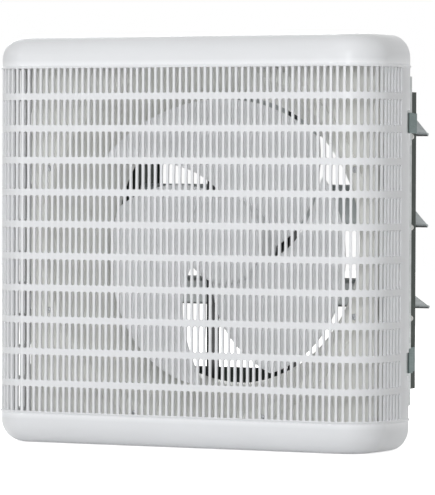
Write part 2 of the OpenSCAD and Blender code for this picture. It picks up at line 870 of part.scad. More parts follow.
// Section of a vane in its hanging pose: plate with its hem folded over at the lower edge
module vane_section() {
    h = vane_t / 2;
    e = vane_t * 1.3;
    polygon([[-h, -6], [-h, 3.5 - vane_l], [-e, 2.8 - vane_l], [-e, 0.5 - vane_l], [0.5 - e, -vane_l],
        [e - 0.5, -vane_l], [e, 0.5 - vane_l], [e, 2.8 - vane_l], [h, 3.5 - vane_l], [h, -6]]);
}

// A vane: plate, upper edge, rolled hinge with its pins, and the crank
module vane(up, reach) {
    translate([-vane_x, 0, 0]) rotate([90, 0, 90]) linear_extrude(height = 2 * vane_x) vane_section();
    span([-vane_x, -vane_t / 2, -6.5], [vane_x - 6, vane_t / 2, up]);
    x_cylinder(2.8, -vane_x, vane_x - 6);
    x_cylinder(pin_r, -frame_half - 0.4, frame_half + 0.4);
    span([vane_x - 8, -reach, -1.5], [vane_x - 6, 0, 1.5]);
    translate([0, -reach, 0]) {
        x_cylinder(3, vane_x - 8, vane_x - 6);
        x_cylinder(1.5, vane_x - 7, vane_x - 2);
    }
}

module placed_vane(k, turn, up, reach) {
    translate([0, hinge_y, hinge_z - k * hinge_pitch]) rotate([turn, 0, 0]) vane(up, reach);
}

low_reach = crank_r * sin(vane_open) / sin(low_open);

module vane_top() {
    color([0.6, 0.64, 0.63]) placed_vane(0, vane_open, 2, crank_r);
}

module vane_middle() {
    color([0.6, 0.64, 0.63]) placed_vane(1, vane_open, vane_up, crank_r);
}

module vane_bottom() {
    color([0.6, 0.64, 0.63]) placed_vane(2, low_open, vane_up, low_reach);
}

// Bar that links the three cranks; its lowest hole is a slot for the shorter crank
module tie_bar() {
    x0 = vane_x - 5.4;
    color([0.5, 0.53, 0.52])
        translate([0, hinge_y - crank_r * cos(vane_open), hinge_z - crank_r * sin(vane_open)])
            difference() {
                union() {
                    span([x0, -3, -2 * hinge_pitch], [x0 + 1.6, 3, 0]);
                    x_cylinder(3, x0, x0 + 1.6);
                    translate([0, 0, -hinge_pitch]) x_cylinder(3, x0, x0 + 1.6);
                    span([x0, -3, -2 * hinge_pitch - 4], [x0 + 1.6, 7, -2 * hinge_pitch + 4]);
                }
                x_cylinder(1.5 + run_gap, x0 - 1, x0 + 3);
                translate([0, 0, -hinge_pitch]) x_cylinder(1.5 + run_gap, x0 - 1, x0 + 3);
                span([x0 - 1, -0.9, -2 * hinge_pitch - 2.2], [x0 + 3, 5, -2 * hinge_pitch + 2.2]);
            }
}

front_grille();
corner_grille_right();
corner_grille_left();
side_grille_right();
side_grille_left();
top_cap();
bottom_cap();
cover_latches();
orifice_panel();
body_walls();
back_plate();
bell_mouth();
bell_screws();
sleeve_top();
sleeve_bottom();
sleeve_left();
sleeve_right();
foam_seal();
motor_stays();
stay_screws();
rubber_mounts();
motor_band();
motor_can();
motor_front_cap();
motor_rear_cap();
stator_core();
stator_winding();
front_bearing();
rear_bearing();
motor_shaft();
rotor_core();
fan_wheel();
spinner_cap();
hub_bush();
wheel_nut();
capacitor();
capacitor_strap();
terminal_block();
terminal_cover();
cable_gland();
frame_top();
frame_bottom();
frame_left();
frame_right();
frame_clips();
frame_rivets();
hinge_bushes();
vane_top();
vane_middle();
vane_bottom();
tie_bar();
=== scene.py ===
"""Looks of a through-wall exhaust fan with a wrap-around lattice cover and a rear shutter.

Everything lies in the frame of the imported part: metres, X to the right as seen from the room,
Y from the room to the outside, Z up, the origin on the fan's axis in the wall plane. Pieces are
modelled in millimetres and settled into metres when they are finished.
"""
import json
import logging
import math
from dataclasses import dataclass
from enum import Enum
from typing import Callable, Iterable, Sequence

import bmesh
import bpy
from mathutils import Matrix, Vector


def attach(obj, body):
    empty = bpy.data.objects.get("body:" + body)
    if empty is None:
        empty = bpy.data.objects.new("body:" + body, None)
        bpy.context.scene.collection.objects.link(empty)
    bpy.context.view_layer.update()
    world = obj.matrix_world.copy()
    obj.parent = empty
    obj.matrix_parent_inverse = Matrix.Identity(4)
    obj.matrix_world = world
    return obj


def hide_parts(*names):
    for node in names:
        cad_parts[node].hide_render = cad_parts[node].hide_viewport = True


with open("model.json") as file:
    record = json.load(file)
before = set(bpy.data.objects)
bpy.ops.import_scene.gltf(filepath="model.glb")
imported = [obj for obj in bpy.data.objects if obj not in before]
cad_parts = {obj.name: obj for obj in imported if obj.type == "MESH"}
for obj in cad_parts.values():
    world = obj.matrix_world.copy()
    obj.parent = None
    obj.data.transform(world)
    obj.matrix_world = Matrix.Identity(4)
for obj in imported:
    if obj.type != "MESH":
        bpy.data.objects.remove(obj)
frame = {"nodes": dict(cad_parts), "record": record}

LOG = logging.getLogger("exhaust_fan")
MM = 0.001
WHITE = (1.0, 1.0, 1.0, 1.0)
WAVE_BAND = 0.314  # metres from band to band in a wave texture of scale 1

Piece = bpy.types.Object
Socket = bpy.types.NodeSocket
Point = tuple[float, float]
Place = tuple[float, float, float]
Colour = tuple[float, float, float, float]
Sockets = dict[str | int, object]
Outline = Sequence[Point]
Test = Callable[[object], bool]


class Pick(Enum):
    """What an edit-mode selection is made of."""

    VERT = "VERT"
    EDGE = "EDGE"
    FACE = "FACE"


class Body(Enum):
    """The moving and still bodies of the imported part."""

    HOUSING = "housing"
    COVER = "front_cover"
    ROTOR = "fan_rotor"
    VANE_TOP = "vane_top_body"
    VANE_MIDDLE = "vane_middle_body"
    VANE_BOTTOM = "vane_bottom_body"
    TIE_BAR = "tie_bar_body"


class Slot(Enum):
    """The record's material slots."""

    COVER = "cover_plastic"
    BODY = "body_paint"
    ZINC = "zinc_sheet"
    WHEEL = "wheel_plastic"
    MOTOR = "motor_paint"
    CAST = "cast_aluminium"
    CORE = "core_steel"
    COPPER = "copper"
    BRIGHT = "bright_steel"
    BRASS = "bush_brass"
    RUBBER = "black_rubber"
    FOAM = "grey_foam"
    GREY = "grey_plastic"
    SHUTTER = "shutter_paint"
    CLIP = "clip_steel"
    VANE = "vane_sheet"
    NYLON = "white_nylon"


def linear(level: float) -> float:
    """Turn one display level, 0 to 255, into linear light."""
    c = level / 255.0
    return c / 12.92 if c <= 0.04045 else ((c + 0.055) / 1.055) ** 2.4


def shift(x: float, y: float, z: float) -> Matrix:
    """Give a move along the three axes."""
    return Matrix.Translation((x, y, z))


def turned(degrees: float, axis: str) -> Matrix:
    """Give a turn round an axis through the origin."""
    return Matrix.Rotation(math.radians(degrees), 4, axis)


def mirror(axis: str) -> Matrix:
    """Give a mirror image along an axis."""
    return Matrix.Scale(-1, 4, [float(axis == c) for c in "XYZ"])


def active() -> Piece:
    """Give the active object."""
    return bpy.context.view_layer.objects.active


def runs(edge: bmesh.types.BMEdge, axis: int) -> bool:
    """Say whether an edge runs along an axis, by its number, for more than a millimetre."""
    return abs(edge.verts[0].co[axis] - edge.verts[1].co[axis]) > 1


def arc(middle: Point, radius: float, first: float, last: float, steps: int) -> list[Point]:
    """Give points along an arc, from its first to its last angle in radians."""
    turns = [first + (last - first) * k / steps for k in range(steps + 1)]
    return [(middle[0] + radius * math.cos(turn), middle[1] + radius * math.sin(turn)) for turn in turns]


def clipped(left: float, right: float, low: float, high: float, clip: float) -> list[Point]:
    """Give the outline of a rectangle with clipped corners."""
    return [(left + clip, low), (right - clip, low), (right, low + clip), (right, high - clip),
            (right - clip, high), (left + clip, high), (left, high - clip), (left, low + clip)]


@dataclass(frozen=True)
class Shade:
    """A colour by its display levels, 0 to 255."""

    red: float
    green: float
    blue: float

    def rgba(self, factor: float = 1.0) -> Colour:
        """Give the colour in linear light, times a factor, with an alpha of one."""
        return (*(min(1.0, linear(c) * factor) for c in (self.red, self.green, self.blue)), 1.0)


class Graph:
    """A node tree and the moves that fill it."""

    def __init__(self, owner: bpy.types.ID, empty: bool = False) -> None:
        """Open the node tree of a material or a world.

        Args:
            owner: the material or world.
            empty: whether its first nodes are taken away.
        """
        owner.use_nodes = True
        self.tree = owner.node_tree
        if empty:
            self.tree.nodes.clear()

    def plug(self, socket: Socket, value: object) -> None:
        """Link an output to a socket, or set the socket's own value.

        Args:
            socket: the input.
            value: an output socket or a plain value.
        """
        if isinstance(value, Socket):
            self.tree.links.new(value, socket)
        else:
            socket.default_value = value

    def add(self, kind: str, sockets: Sockets, out: str | int = 0, **settings: object) -> Socket | None:
        """Add a node.

        Args:
            kind: the node's type.
            sockets: values or outputs for its inputs, by name or number.
            out: the output that is wanted.
            settings: the node's properties.

        Returns:
            That output, or None if the node has none.
        """
        node = self.tree.nodes.new(kind)
        for key, value in settings.items():
            setattr(node, key, value)
        for key, value in sockets.items():
            self.plug(node.inputs[key], value)
        return node.outputs[out] if node.outputs else None

    def seen(self) -> Socket:
        """Tell the rays that show the background from the others.

        Returns:
            An output that is 1 for camera, glossy and transmission rays.
        """
        path = self.tree.nodes.new("ShaderNodeLightPath")
        rays = path.outputs
        either = self.add("ShaderNodeMath", {0: rays["Is Camera Ray"], 1: rays["Is Glossy Ray"]},
                          operation="MAXIMUM")
        return self.add("ShaderNodeMath", {0: either, 1: rays["Is Transmission Ray"]}, operation="MAXIMUM")


class Recipe(Graph):
    """One node material round a Principled shader, with patterns on Object coordinates."""

    def __init__(self, name: str) -> None:
        """Start the material.

        Args:
            name: the material's name.
        """
        self.material = bpy.data.materials.new(name)
        super().__init__(self.material)
        self.shader = self.tree.nodes["Principled BSDF"]
        self.where = self.add("ShaderNodeTexCoord", {}, "Object")

    def stretched(self, scale: Place) -> Socket:
        """Give the object coordinates stretched by a factor on each axis."""
        return self.add("ShaderNodeMapping", {"Vector": self.where, "Scale": scale}, "Vector")

    def noise(self, scale: float, detail: float = 2.0, where: Socket | None = None) -> Socket:
        """Give a soft noise, about 0.3 to 0.7, by its features per metre and its finer layers."""
        sockets = {"Vector": where or self.where, "Scale": scale, "Detail": detail}
        return self.add("ShaderNodeTexNoise", sockets, "Fac")

    def cells(self, scale: float, out: str) -> Socket:
        """Give an output of a pattern of cells with the given number per metre."""
        return self.add("ShaderNodeTexVoronoi", {"Vector": self.where, "Scale": scale}, out)

    def between(self, value: Socket, low: float, high: float, start: float = 0.3, end: float = 0.7) -> Socket:
        """Map a pattern's levels from start to end onto the range from low to high."""
        sockets = {"Value": value, "From Min": start, "From Max": end, "To Min": low, "To Max": high}
        return self.add("ShaderNodeMapRange", sockets, "Result")

    def tint(self, value: Socket, first: object, second: object) -> Socket:
        """Mix two colours by a pattern and give the mixed colour."""
        return self.add("ShaderNodeMix", {0: value, 6: first, 7: second}, 2, data_type="RGBA")

    def bump(self, height: Socket, depth: float, strength: float) -> Socket:
        """Raise a relief from a pattern, by its height in metres and the share of it that shows."""
        sockets = {"Height": height, "Distance": depth, "Strength": strength}
        return self.add("ShaderNodeBump", sockets, "Normal")

    def done(self, **sockets: object) -> bpy.types.Material:
        """Finish the material.

        Args:
            sockets: the shader's inputs, with underscores for spaces.

        Returns:
            The material.
        """
        for key, value in sockets.items():
            self.plug(self.shader.inputs[key.replace("_", " ")], value)
        return self.material


@dataclass(frozen=True)
class Finish:
    """What all finishes have: a colour with darker patches, and a roughness."""

    slot: Slot
    shade: Shade
    gloss: float = 0.45
    drift: float = 0.97

    def colour(self, r: Recipe, pattern: Socket) -> Socket:
        """Mix the darker and the full colour by a pattern."""
        return r.tint(pattern, self.shade.rgba(self.drift), self.shade.rgba())

    def rough(self, r: Recipe, pattern: Socket, less: float = 0.08, more: float = 0.1) -> Socket:
        """Vary the roughness by a pattern."""
        return r.between(pattern, self.gloss - less, self.gloss + more)


@dataclass(frozen=True)
class Plastic(Finish):
    """Injection-moulded plastic: soft flow marks, fine pebbled skin and uneven gloss."""

    shine: float = 0.5
    flow: float = 9.0
    pebble: float = 1400.0
    depth: float = 0.000012
    # rim and the range after it set a painted highlight: sharp convex edges, picked by pointiness, get a
    # paler colour
    rim: float = 1.0
    edge_highlight_range: Point = (0.55, 0.65)

    def material(self) -> bpy.types.Material:
        """Build the material. Sharp convex edges are made paler by a painted highlight.

        Returns:
            The material.
        """
        r = Recipe(self.slot.value)
        colour = self.colour(r, r.between(r.noise(self.flow, 3.0), 0.0, 1.0))
        # Painted highlight: sharp convex edges, found by pointiness, are mixed towards a paler colour.
        if self.rim > 1.0:
            edge = r.between(r.add("ShaderNodeNewGeometry", {}, "Pointiness"), 0.0, 1.0, *self.edge_highlight_range)
            colour = r.tint(edge, colour, self.shade.rgba(self.rim))
        rough = self.rough(r, r.noise(60.0), 0.05, 0.06)
        relief = r.bump(r.noise(self.pebble), self.depth, 0.6)
        return r.done(Base_Color=colour, Roughness=rough, Normal=relief, IOR=1.5,
                      Specular_IOR_Level=self.shine)


@dataclass(frozen=True)
class Zinc(Finish):
    """Zinc-coated sheet: spangle, rolling streaks and dull metal gloss."""

    spangle: float = 110.0
    streaks: Place = (14.0, 1.0, 14.0)

    def material(self) -> bpy.types.Material:
        """Build the material.

        Returns:
            The material.
        """
        r = Recipe(self.slot.value)
        flake = r.add("ShaderNodeSeparateColor", {"Color": r.cells(self.spangle, "Color")}, "Red")
        rough = self.rough(r, r.noise(40.0, 3.0, r.stretched(self.streaks)), 0.08, 0.08)
        return r.done(Base_Color=self.colour(r, flake), Roughness=rough, Normal=r.bump(flake, 0.00002, 0.35),
                      Metallic=0.85)


@dataclass(frozen=True)
class Paint(Finish):
    """Baked paint on steel: orange-peel relief, slight cloudiness and a soft coat."""

    shine: float = 0.5
    coat: float = 0.2
    peel: float = 420.0

    def material(self) -> bpy.types.Material:
        """Build the material.

        Returns:
            The material.
        """
        r = Recipe(self.slot.value)
        colour = self.colour(r, r.between(r.noise(14.0, 4.0), 0.0, 1.0))
        rough = self.rough(r, r.noise(90.0), 0.05, 0.05)
        relief = r.bump(r.noise(self.peel, 1.0), 0.00004, 0.5)
        return r.done(Base_Color=colour, Roughness=rough, Normal=relief, Specular_IOR_Level=self.shine,
                      Coat_Weight=self.coat, Coat_Roughness=0.25)


@dataclass(frozen=True)
class Metal(Finish):
    """Bare metal: machining or drawing lines along one axis, or cast grain."""

    lines: Place = (400.0, 30.0, 400.0)
    depth: float = 0.000015
    metallic: float = 0.95

    def material(self) -> bpy.types.Material:
        """Build the material.

        Returns:
            The material.
        """
        r = Recipe(self.slot.value)
        drawn = r.noise(1.0, 2.0, r.stretched(self.lines))
        colour = self.colour(r, r.between(r.noise(35.0, 3.0), 0.0, 1.0))
        relief = r.bump(drawn, self.depth, 0.7)
        return r.done(Base_Color=colour, Roughness=self.rough(r, drawn), Normal=relief,
                      Metallic=self.metallic)


@dataclass(frozen=True)
class Laminated(Finish):
    """Core steel stacked from thin sheets: fine lines square to the fan's axis."""

    sheet: float = 0.0005

    def material(self) -> bpy.types.Material:
        """Build the material.

        Returns:
            The material.
        """
        r = Recipe(self.slot.value)
        wave = {"Vector": r.where, "Scale": WAVE_BAND / self.sheet, "Distortion": 0.4}
        edge = r.add("ShaderNodeTexWave", wave, "Fac", bands_direction="Y")
        return r.done(Base_Color=self.colour(r, edge), Roughness=self.rough(r, r.noise(200.0)),
                      Normal=r.bump(edge, 0.00008, 0.8), Metallic=0.8)


@dataclass(frozen=True)
class Winding(Finish):
    """Enamelled wire wound in a ring."""

    wire: float = 0.0008

    def material(self) -> bpy.types.Material:
        """Build the material.

        Returns:
            The material.
        """
        r = Recipe(self.slot.value)
        wave = {"Vector": r.where, "Scale": WAVE_BAND / self.wire, "Distortion": 2.5, "Detail": 1.0}
        strand = r.add("ShaderNodeTexWave", wave, "Fac", wave_type="RINGS", rings_direction="Y")
        relief = r.bump(strand, 0.0003, 0.9)
        return r.done(Base_Color=self.colour(r, strand), Roughness=self.gloss, Normal=relief, Metallic=0.7,
                      Coat_Weight=0.5)


@dataclass(frozen=True)
class Soft(Finish):
    """Rubber or foam: matt, mottled, with pores of its own size."""

    pores: float = 700.0
    depth: float = 0.0001
    light: float = 1.1

    def material(self) -> bpy.types.Material:
        """Build the material.

        Returns:
            The material.
        """
        r = Recipe(self.slot.value)
        mottle = r.between(r.noise(80.0, 3.0), 0.0, 1.0)
        colour = r.tint(mottle, self.shade.rgba(self.drift), self.shade.rgba(self.light))
        relief = r.bump(r.cells(self.pores, "Distance"), self.depth, 0.8)
        return r.done(Base_Color=colour, Roughness=self.rough(r, r.noise(300.0)), Normal=relief)


FINISHES: tuple[Finish, ...] = (
    # The cover's rim value paints a highlight on its sharp convex edges.
    Plastic(Slot.COVER, Shade(217, 218, 220), 0.34, shine=0.2, rim=1.25),
    Paint(Slot.BODY, Shade(236, 236, 231)),
    Zinc(Slot.ZINC, Shade(188, 192, 192), 0.42, 0.82),
    Plastic(Slot.WHEEL, Shade(247, 248, 250), 0.42, 0.96),
    Paint(Slot.MOTOR, Shade(36, 38, 40), 0.55, 0.94),
    Metal(Slot.CAST, Shade(178, 181, 183), 0.5, 0.84, lines=(900.0, 900.0, 900.0), depth=0.00006),
    Laminated(Slot.CORE, Shade(150, 152, 156), 0.5, 0.55),
    Winding(Slot.COPPER, Shade(190, 108, 62), 0.32, 0.45),
    Metal(Slot.BRIGHT, Shade(196, 198, 200), 0.25, 0.84, lines=(90.0, 1800.0, 90.0)),
    Metal(Slot.BRASS, Shade(196, 166, 98), 0.32, 0.84, lines=(90.0, 1500.0, 90.0)),
    Soft(Slot.RUBBER, Shade(38, 38, 40), 0.62, 0.7, pores=1500.0, depth=0.00003),
    Soft(Slot.FOAM, Shade(92, 94, 97), 0.9, 0.7, pores=420.0, depth=0.0004),
    Plastic(Slot.GREY, Shade(214, 214, 206)),
    Paint(Slot.SHUTTER, Shade(74, 80, 76), 0.6, 0.94, coat=0.0, shine=0.2),
    Metal(Slot.CLIP, Shade(118, 134, 133), 0.45, 0.84, lines=(60.0, 60.0, 900.0), metallic=0.3),
    Metal(Slot.VANE, Shade(190, 196, 197), 0.5, 0.84, lines=(12.0, 500.0, 500.0), metallic=0.1),
    Plastic(Slot.NYLON, Shade(248, 248, 245), 0.35, 0.96),
)


class Bench:
    """The modelling moves that every sub-assembly shares. Sizes are millimetres."""

    def __init__(self) -> None:
        """Build every finish once."""
        self.materials = {finish.slot: finish.material() for finish in FINISHES}

    def clear(self) -> None:
        """Leave object mode with nothing selected."""
        obj = active()
        if obj is not None and obj.mode != "OBJECT":
            bpy.ops.object.mode_set(mode="OBJECT")
        bpy.ops.object.select_all(action="DESELECT")

    def hold(self, obj: Piece) -> None:
        """Select one object alone and make it active.

        Args:
            obj: the object.
        """
        self.clear()
        obj.select_set(True)
        bpy.context.view_layer.objects.active = obj

    def edit(self, obj: Piece) -> None:
        """Open one object in edit mode."""
        self.hold(obj)
        bpy.ops.object.mode_set(mode="EDIT")

    def close(self) -> Piece:
        """Leave edit mode and give the object that was open."""
        bpy.ops.object.mode_set(mode="OBJECT")
        return active()

    def seal(self) -> Piece:
        """Turn the open mesh's faces outward and close it.

        Returns:
            The piece.
        """
        bpy.ops.mesh.select_all(action="SELECT")
        bpy.ops.mesh.normals_make_consistent(inside=False)
        return self.close()

    def pick(self, kind: Pick, test: Test) -> None:
        """Select what passes a test in the open mesh.

        Args:
            kind: vertices, edges or faces.
            test: says whether an element is taken.
        """
        bpy.ops.mesh.select_mode(type=kind.value)
        bpy.ops.mesh.select_all(action="DESELECT")
        data = active().data
        shape = bmesh.from_edit_mesh(data)
        for item in {Pick.VERT: shape.verts, Pick.EDGE: shape.edges, Pick.FACE: shape.faces}[kind]:
            if test(item):
                item.select_set(True)
        shape.select_flush_mode()
        bmesh.update_edit_mesh(data)

    def move_points(self, where: Callable[[Vector], Vector], chosen: bool = False) -> None:
        """Move the points of the open mesh.

        Args:
            where: gives each point's new place.
            chosen: only the selected points move.
        """
        data = active().data
        shape = bmesh.from_edit_mesh(data)
        for vert in shape.verts:
            if vert.select or not chosen:
                vert.co = where(vert.co.copy())
        bmesh.update_edit_mesh(data)

    def round_edges(self, test: Test, width: float, steps: int) -> None:
        """Round the edges of the open mesh that pass a test."""
        self.pick(Pick.EDGE, test)
        bpy.ops.mesh.bevel(offset=width, segments=steps, affect="EDGES", clamp_overlap=False)

    def open_faces(self, test: Test) -> None:
        """Delete the faces of the open mesh that pass a test."""
        self.pick(Pick.FACE, test)
        bpy.ops.mesh.delete(type="FACE")

    def modify(self, obj: Piece, kind: str, **settings: object) -> Piece:
        """Add a modifier and apply it.

        Args:
            obj: the piece.
            kind: the modifier's type.
            settings: its properties.

        Returns:
            The piece.
        """
        self.hold(obj)
        modifier = obj.modifiers.new(kind.lower(), kind)
        for key, value in settings.items():
            setattr(modifier, key, value)
        bpy.ops.object.modifier_apply(modifier=modifier.name)
        return obj

    def thicken(self, obj: Piece, wall: float, offset: float = -1.0) -> Piece:
        """Give an open sheet a wall, inward with offset -1, to both sides with 0."""
        return self.modify(obj, "SOLIDIFY", thickness=wall, offset=offset, use_even_offset=True)

    def transform(self, obj: Piece, move: Matrix) -> Piece:
        """Move, turn or mirror a piece's mesh and keep its faces outward.

        Args:
            obj: the piece.
            move: the matrix.

        Returns:
            The piece.
        """
        obj.data.transform(move)
        if move.determinant() < 0:
            obj.data.flip_normals()
        return obj

    def copy(self, obj: Piece, move: Matrix) -> Piece:
        """Copy a piece with its own mesh, moved by a matrix.

        Args:
            obj: the piece.
            move: the matrix.

        Returns:
            The copy.
        """
        twin = obj.copy()
        twin.data = obj.data.copy()
        bpy.context.scene.collection.objects.link(twin)
        return self.transform(twin, move)

    def join(self, name: str, parts: Iterable[Piece]) -> Piece:
        """Join parts into one piece.

        Args:
            name: the piece's name.
            parts: what is joined.

        Returns:
            The piece.
        """
        parts = list(parts)
        self.clear()
        for part in parts:
            part.select_set(True)
        bpy.context.view_layer.objects.active = parts[0]
        if len(parts) > 1:
            bpy.ops.object.join()
        parts[0].name = name
        return parts[0]

    def spread(self, name: str, first: Piece, moves: Iterable[Matrix]) -> Piece:
        """Join copies of a piece and throw the piece away.

        Args:
            name: the joined piece's name.
            first: the piece that is copied.
            moves: one matrix for each copy.

        Returns:
            The joined copies.
        """
        obj = self.join(name, [self.copy(first, move) for move in moves])
        bpy.data.objects.remove(first)
        return obj

    def pair(self, name: str, half: Piece) -> Piece:
        """Join a piece with its mirror image on the other side of the fan."""
        return self.join(name, [half, self.copy(half, mirror("X"))])

    def block(self, name: str, low: Place, high: Place) -> Piece:
        """Start a piece from a box.

        Args:
            name: the piece's name.
            low: the corner with the lowest coordinates.
            high: the opposite corner.

        Returns:
            The piece.
        """
        size = [b - a for a, b in zip(low, high)]
        middle = [(a + b) / 2 for a, b in zip(low, high)]
        self.clear()
        bpy.ops.mesh.primitive_cube_add(size=1.0, location=middle, scale=size)
        bpy.ops.object.transform_apply(location=True, rotation=True, scale=True)
        active().name = name
        return active()

    def outline(self, name: str, places: Sequence[Place], fill: str) -> None:
        """Start a piece from a closed line and open it with the whole line selected.

        Args:
            name: the piece's name.
            places: the points of the line.
            fill: NGON for a face inside the line, NOTHING for none.
        """
        self.clear()
        bpy.ops.mesh.primitive_circle_add(vertices=len(places), radius=1.0, fill_type=fill)
        obj = active()
        obj.name = name
        for vert, place in zip(obj.data.vertices, places):
            vert.co = place
        self.edit(obj)
        bpy.ops.mesh.select_all(action="SELECT")

    def lathe(self, name: str, section: Outline, steps: int = 96) -> Piece:
        """Spin a closed section round the fan's axis.

        Args:
            name: the piece's name.
            section: points of the section, as distance from the axis and place along Y.
            steps: steps of the spin.

        Returns:
            The piece.
        """
        self.outline(name, [(r, y, 0.0) for r, y in section], "NOTHING")
        bpy.ops.mesh.spin(steps=steps, angle=2 * math.pi, center=(0, 0, 0), axis=(0, 1, 0))
        bpy.ops.mesh.select_all(action="SELECT")
        bpy.ops.mesh.remove_doubles(threshold=0.001)
        return self.seal()

    def prism(self, name: str, outline: Outline, low: float, high: float, axis: str = "Z") -> Piece:
        """Extrude a closed outline along an axis.

        Args:
            name: the piece's name.
            outline: points across the axis, in the order of the other two axes.
            low: where the piece starts along the axis.
            high: where it ends.
            axis: X, Y or Z.

        Returns:
            The piece.
        """
        along = "XYZ".index(axis)
        step = Vector([float(axis == c) for c in "XYZ"]) * (high - low)
        self.outline(name, [(*point[:along], low, *point[along:]) for point in outline], "NGON")
        bpy.ops.mesh.extrude_region_move(TRANSFORM_OT_translate={"value": step})
        return self.seal()

    def rod(self, name: str, radius: float, low: float, high: float, axis: str = "Y", at: Point = (0.0, 0.0),
            steps: int = 32) -> Piece:
        """Model a round bar along an axis.

        Args:
            name: the piece's name.
            radius: its radius.
            low: where it starts along the axis.
            high: where it ends.
            axis: X, Y or Z.
            at: its place across the axis, in the order of the other two axes.
            steps: sides of the round.

        Returns:
            The piece.
        """
        turns = [2 * math.pi * k / steps for k in range(steps)]
        ring = [(at[0] + radius * math.cos(turn), at[1] + radius * math.sin(turn)) for turn in turns]
        return self.prism(name, ring, low, high, axis)

    def cut(self, obj: Piece, *tools: Piece, how: str = "DIFFERENCE") -> Piece:
        """Cut pieces out of a piece, or unite them with it, and throw them away.

        Args:
            obj: the piece.
            tools: pieces that don't meet each other.
            how: DIFFERENCE or UNION.

        Returns:
            The piece.
        """
        tool = self.join("tool", tools)
        self.modify(obj, "BOOLEAN", operation=how, object=tool, solver="EXACT")
        bpy.data.objects.remove(tool)
        return obj

    def screw(self, head: float, height: float, shank: float, depth: float) -> Piece:
        """Model a pan-head screw with a cross recess. It stands on Y 0, its head towards -Y.

        Args:
            head: radius of the head.
            height: height of the head.
            shank: radius of the shank.
            depth: length of the shank.

        Returns:
            The piece.
        """
        dome = [(share * head, -level * height) for share, level in
                ((0, 1), (0.4, 1), (0.75, 0.88), (0.93, 0.66), (1, 0.38), (1, 0))]
        tip = 0.4
        stem = [(shank, 0), (shank, depth - tip), (shank - tip, depth), (0, depth)]
        obj = self.lathe("screw", dome + stem, 20)
        arm, slot, floor = 0.52 * head, 0.1 * head, -0.45 * height
        for x, z in ((arm, slot), (slot, arm)):
            self.cut(obj, self.block("recess", (-x, -height - 1, -z), (x, floor, z)))
        return self.smooth(self.soften(obj, 0.12, 1, 30.0), 30.0)

    def soften(self, obj: Piece, width: float, steps: int = 2, angle: float = 40.0) -> Piece:
        """Round the edges that are sharper than an angle in degrees."""
        return self.modify(obj, "BEVEL", width=width, segments=steps, limit_method="ANGLE",
                           angle_limit=math.radians(angle), use_clamp_overlap=True, harden_normals=False)

    def smooth(self, obj: Piece, angle: float = 40.0) -> Piece:
        """Shade smooth up to an angle, with flat faces kept flat.

        Args:
            obj: the piece.
            angle: sharper edges stay sharp, in degrees.

        Returns:
            The piece.
        """
        self.hold(obj)
        bpy.ops.object.shade_smooth_by_angle(angle=math.radians(angle))
        return self.modify(obj, "WEIGHTED_NORMAL", keep_sharp=True, weight=60)

    def settle(self, obj: Piece, slot: Slot, *nodes: str, body: Body = Body.HOUSING) -> None:
        """Bring a finished piece into metres, dress it and hand it to its body.

        Args:
            obj: the piece, in millimetres.
            slot: its finish.
            nodes: the CAD nodes that it stands for.
            body: the body that it rides on.
        """
        obj.data.transform(Matrix.Scale(MM, 4))
        obj.data.name = obj.name
        obj.data.materials.clear()
        obj.data.materials.append(self.materials[slot])
        obj.data.update()
        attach(obj, body.value)
        if nodes:
            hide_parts(*nodes)
        LOG.info("%s: %d faces, %s, stands for %s", obj.name, len(obj.data.polygons), slot.value,
                 ", ".join(nodes) or "nothing")

    def finish(self, obj: Piece, slot: Slot, *nodes: str, edge: float = 0.0, steps: int = 2,
               body: Body = Body.HOUSING, angle: float = 40.0) -> None:
        """Round, smooth and settle a piece.

        Args:
            obj: the piece.
            slot: its finish.
            nodes: the CAD nodes that it stands for.
            edge: size of the rounding, 0 for none.
            steps: its segments.
            body: the body that it rides on.
            angle: edges sharper than this stay sharp to the eye, in degrees.
        """
        if edge > 0:
            self.soften(obj, edge, steps)
        self.settle(self.smooth(obj, angle), slot, *nodes, body=body)


@dataclass(frozen=True)
class Layout:
    """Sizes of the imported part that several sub-assemblies share, in millimetres."""

    sheet: float = 1.2
    plate: float = 1.6
    panel_y: float = 38.0
    box_x: float = 205.0
    box_z: float = 203.0
    gland: float = 11.0
    gland_at: Point = (188.0, -186.0)
    sleeve_half: float = 174.5
    sleeve_end: float = 112.0
    can: float = 42.0
    can_front: float = 56.0
    can_rear: float = 102.0
    stay_holes: Point = (9.0, 18.0)
    screw_hole: float = 2.1
    screw: Place = (3.4, 2.0, 2.0)
    gap: float = 0.08
    frame_half: float = 158.6
    frame_front: float = 106.0
    frame_rear: float = 155.5
    rivet_in: float = 12.5
    rivet_shank: float = 1.6
    rivet_levels: Place = (111.0, 14.0, -83.0)
    hinge_y: float = 120.0
    hinge_z: float = 153.0
    hinge_pitch: float = 98.5
    bush: float = 4.0
    vane_long: float = 86.0
    vane_sheet: float = 1.0
    vane_open: float = 62.5
    low_ratio: float = 1.128
    crank: float = 18.0
    crank_peg: float = 1.5
    pin: float = 2.0

    @property
    def sleeve_in(self) -> float:
        """Inner half width of the sleeve."""
        return self.sleeve_half - self.sheet

    @property
    def frame_in(self) -> float:
        """Inner half width of the shutter frame."""
        return self.frame_half - self.sheet

    @property
    def vane_x(self) -> float:
        """Half width of a vane."""
        return self.frame_in - 3.4

    @property
    def stay_y(self) -> float:
        """Middle of the motor stays along the axis."""
        return (self.can_front + self.can_rear) / 2 + 5

    @property
    def stay_x(self) -> float:
        """Inner face of the motor stays."""
        return self.can + 6

    @property
    def stay_places(self) -> tuple[float, ...]:
        """Places of the stay screws along X, from left to right."""
        near, far = (self.stay_x + hole for hole in self.stay_holes)
        return (-far, -near, near, far)

    @property
    def hinges(self) -> list[float]:
        """Heights of the three hinges, the top one first."""
        return [self.hinge_z - k * self.hinge_pitch for k in range(3)]


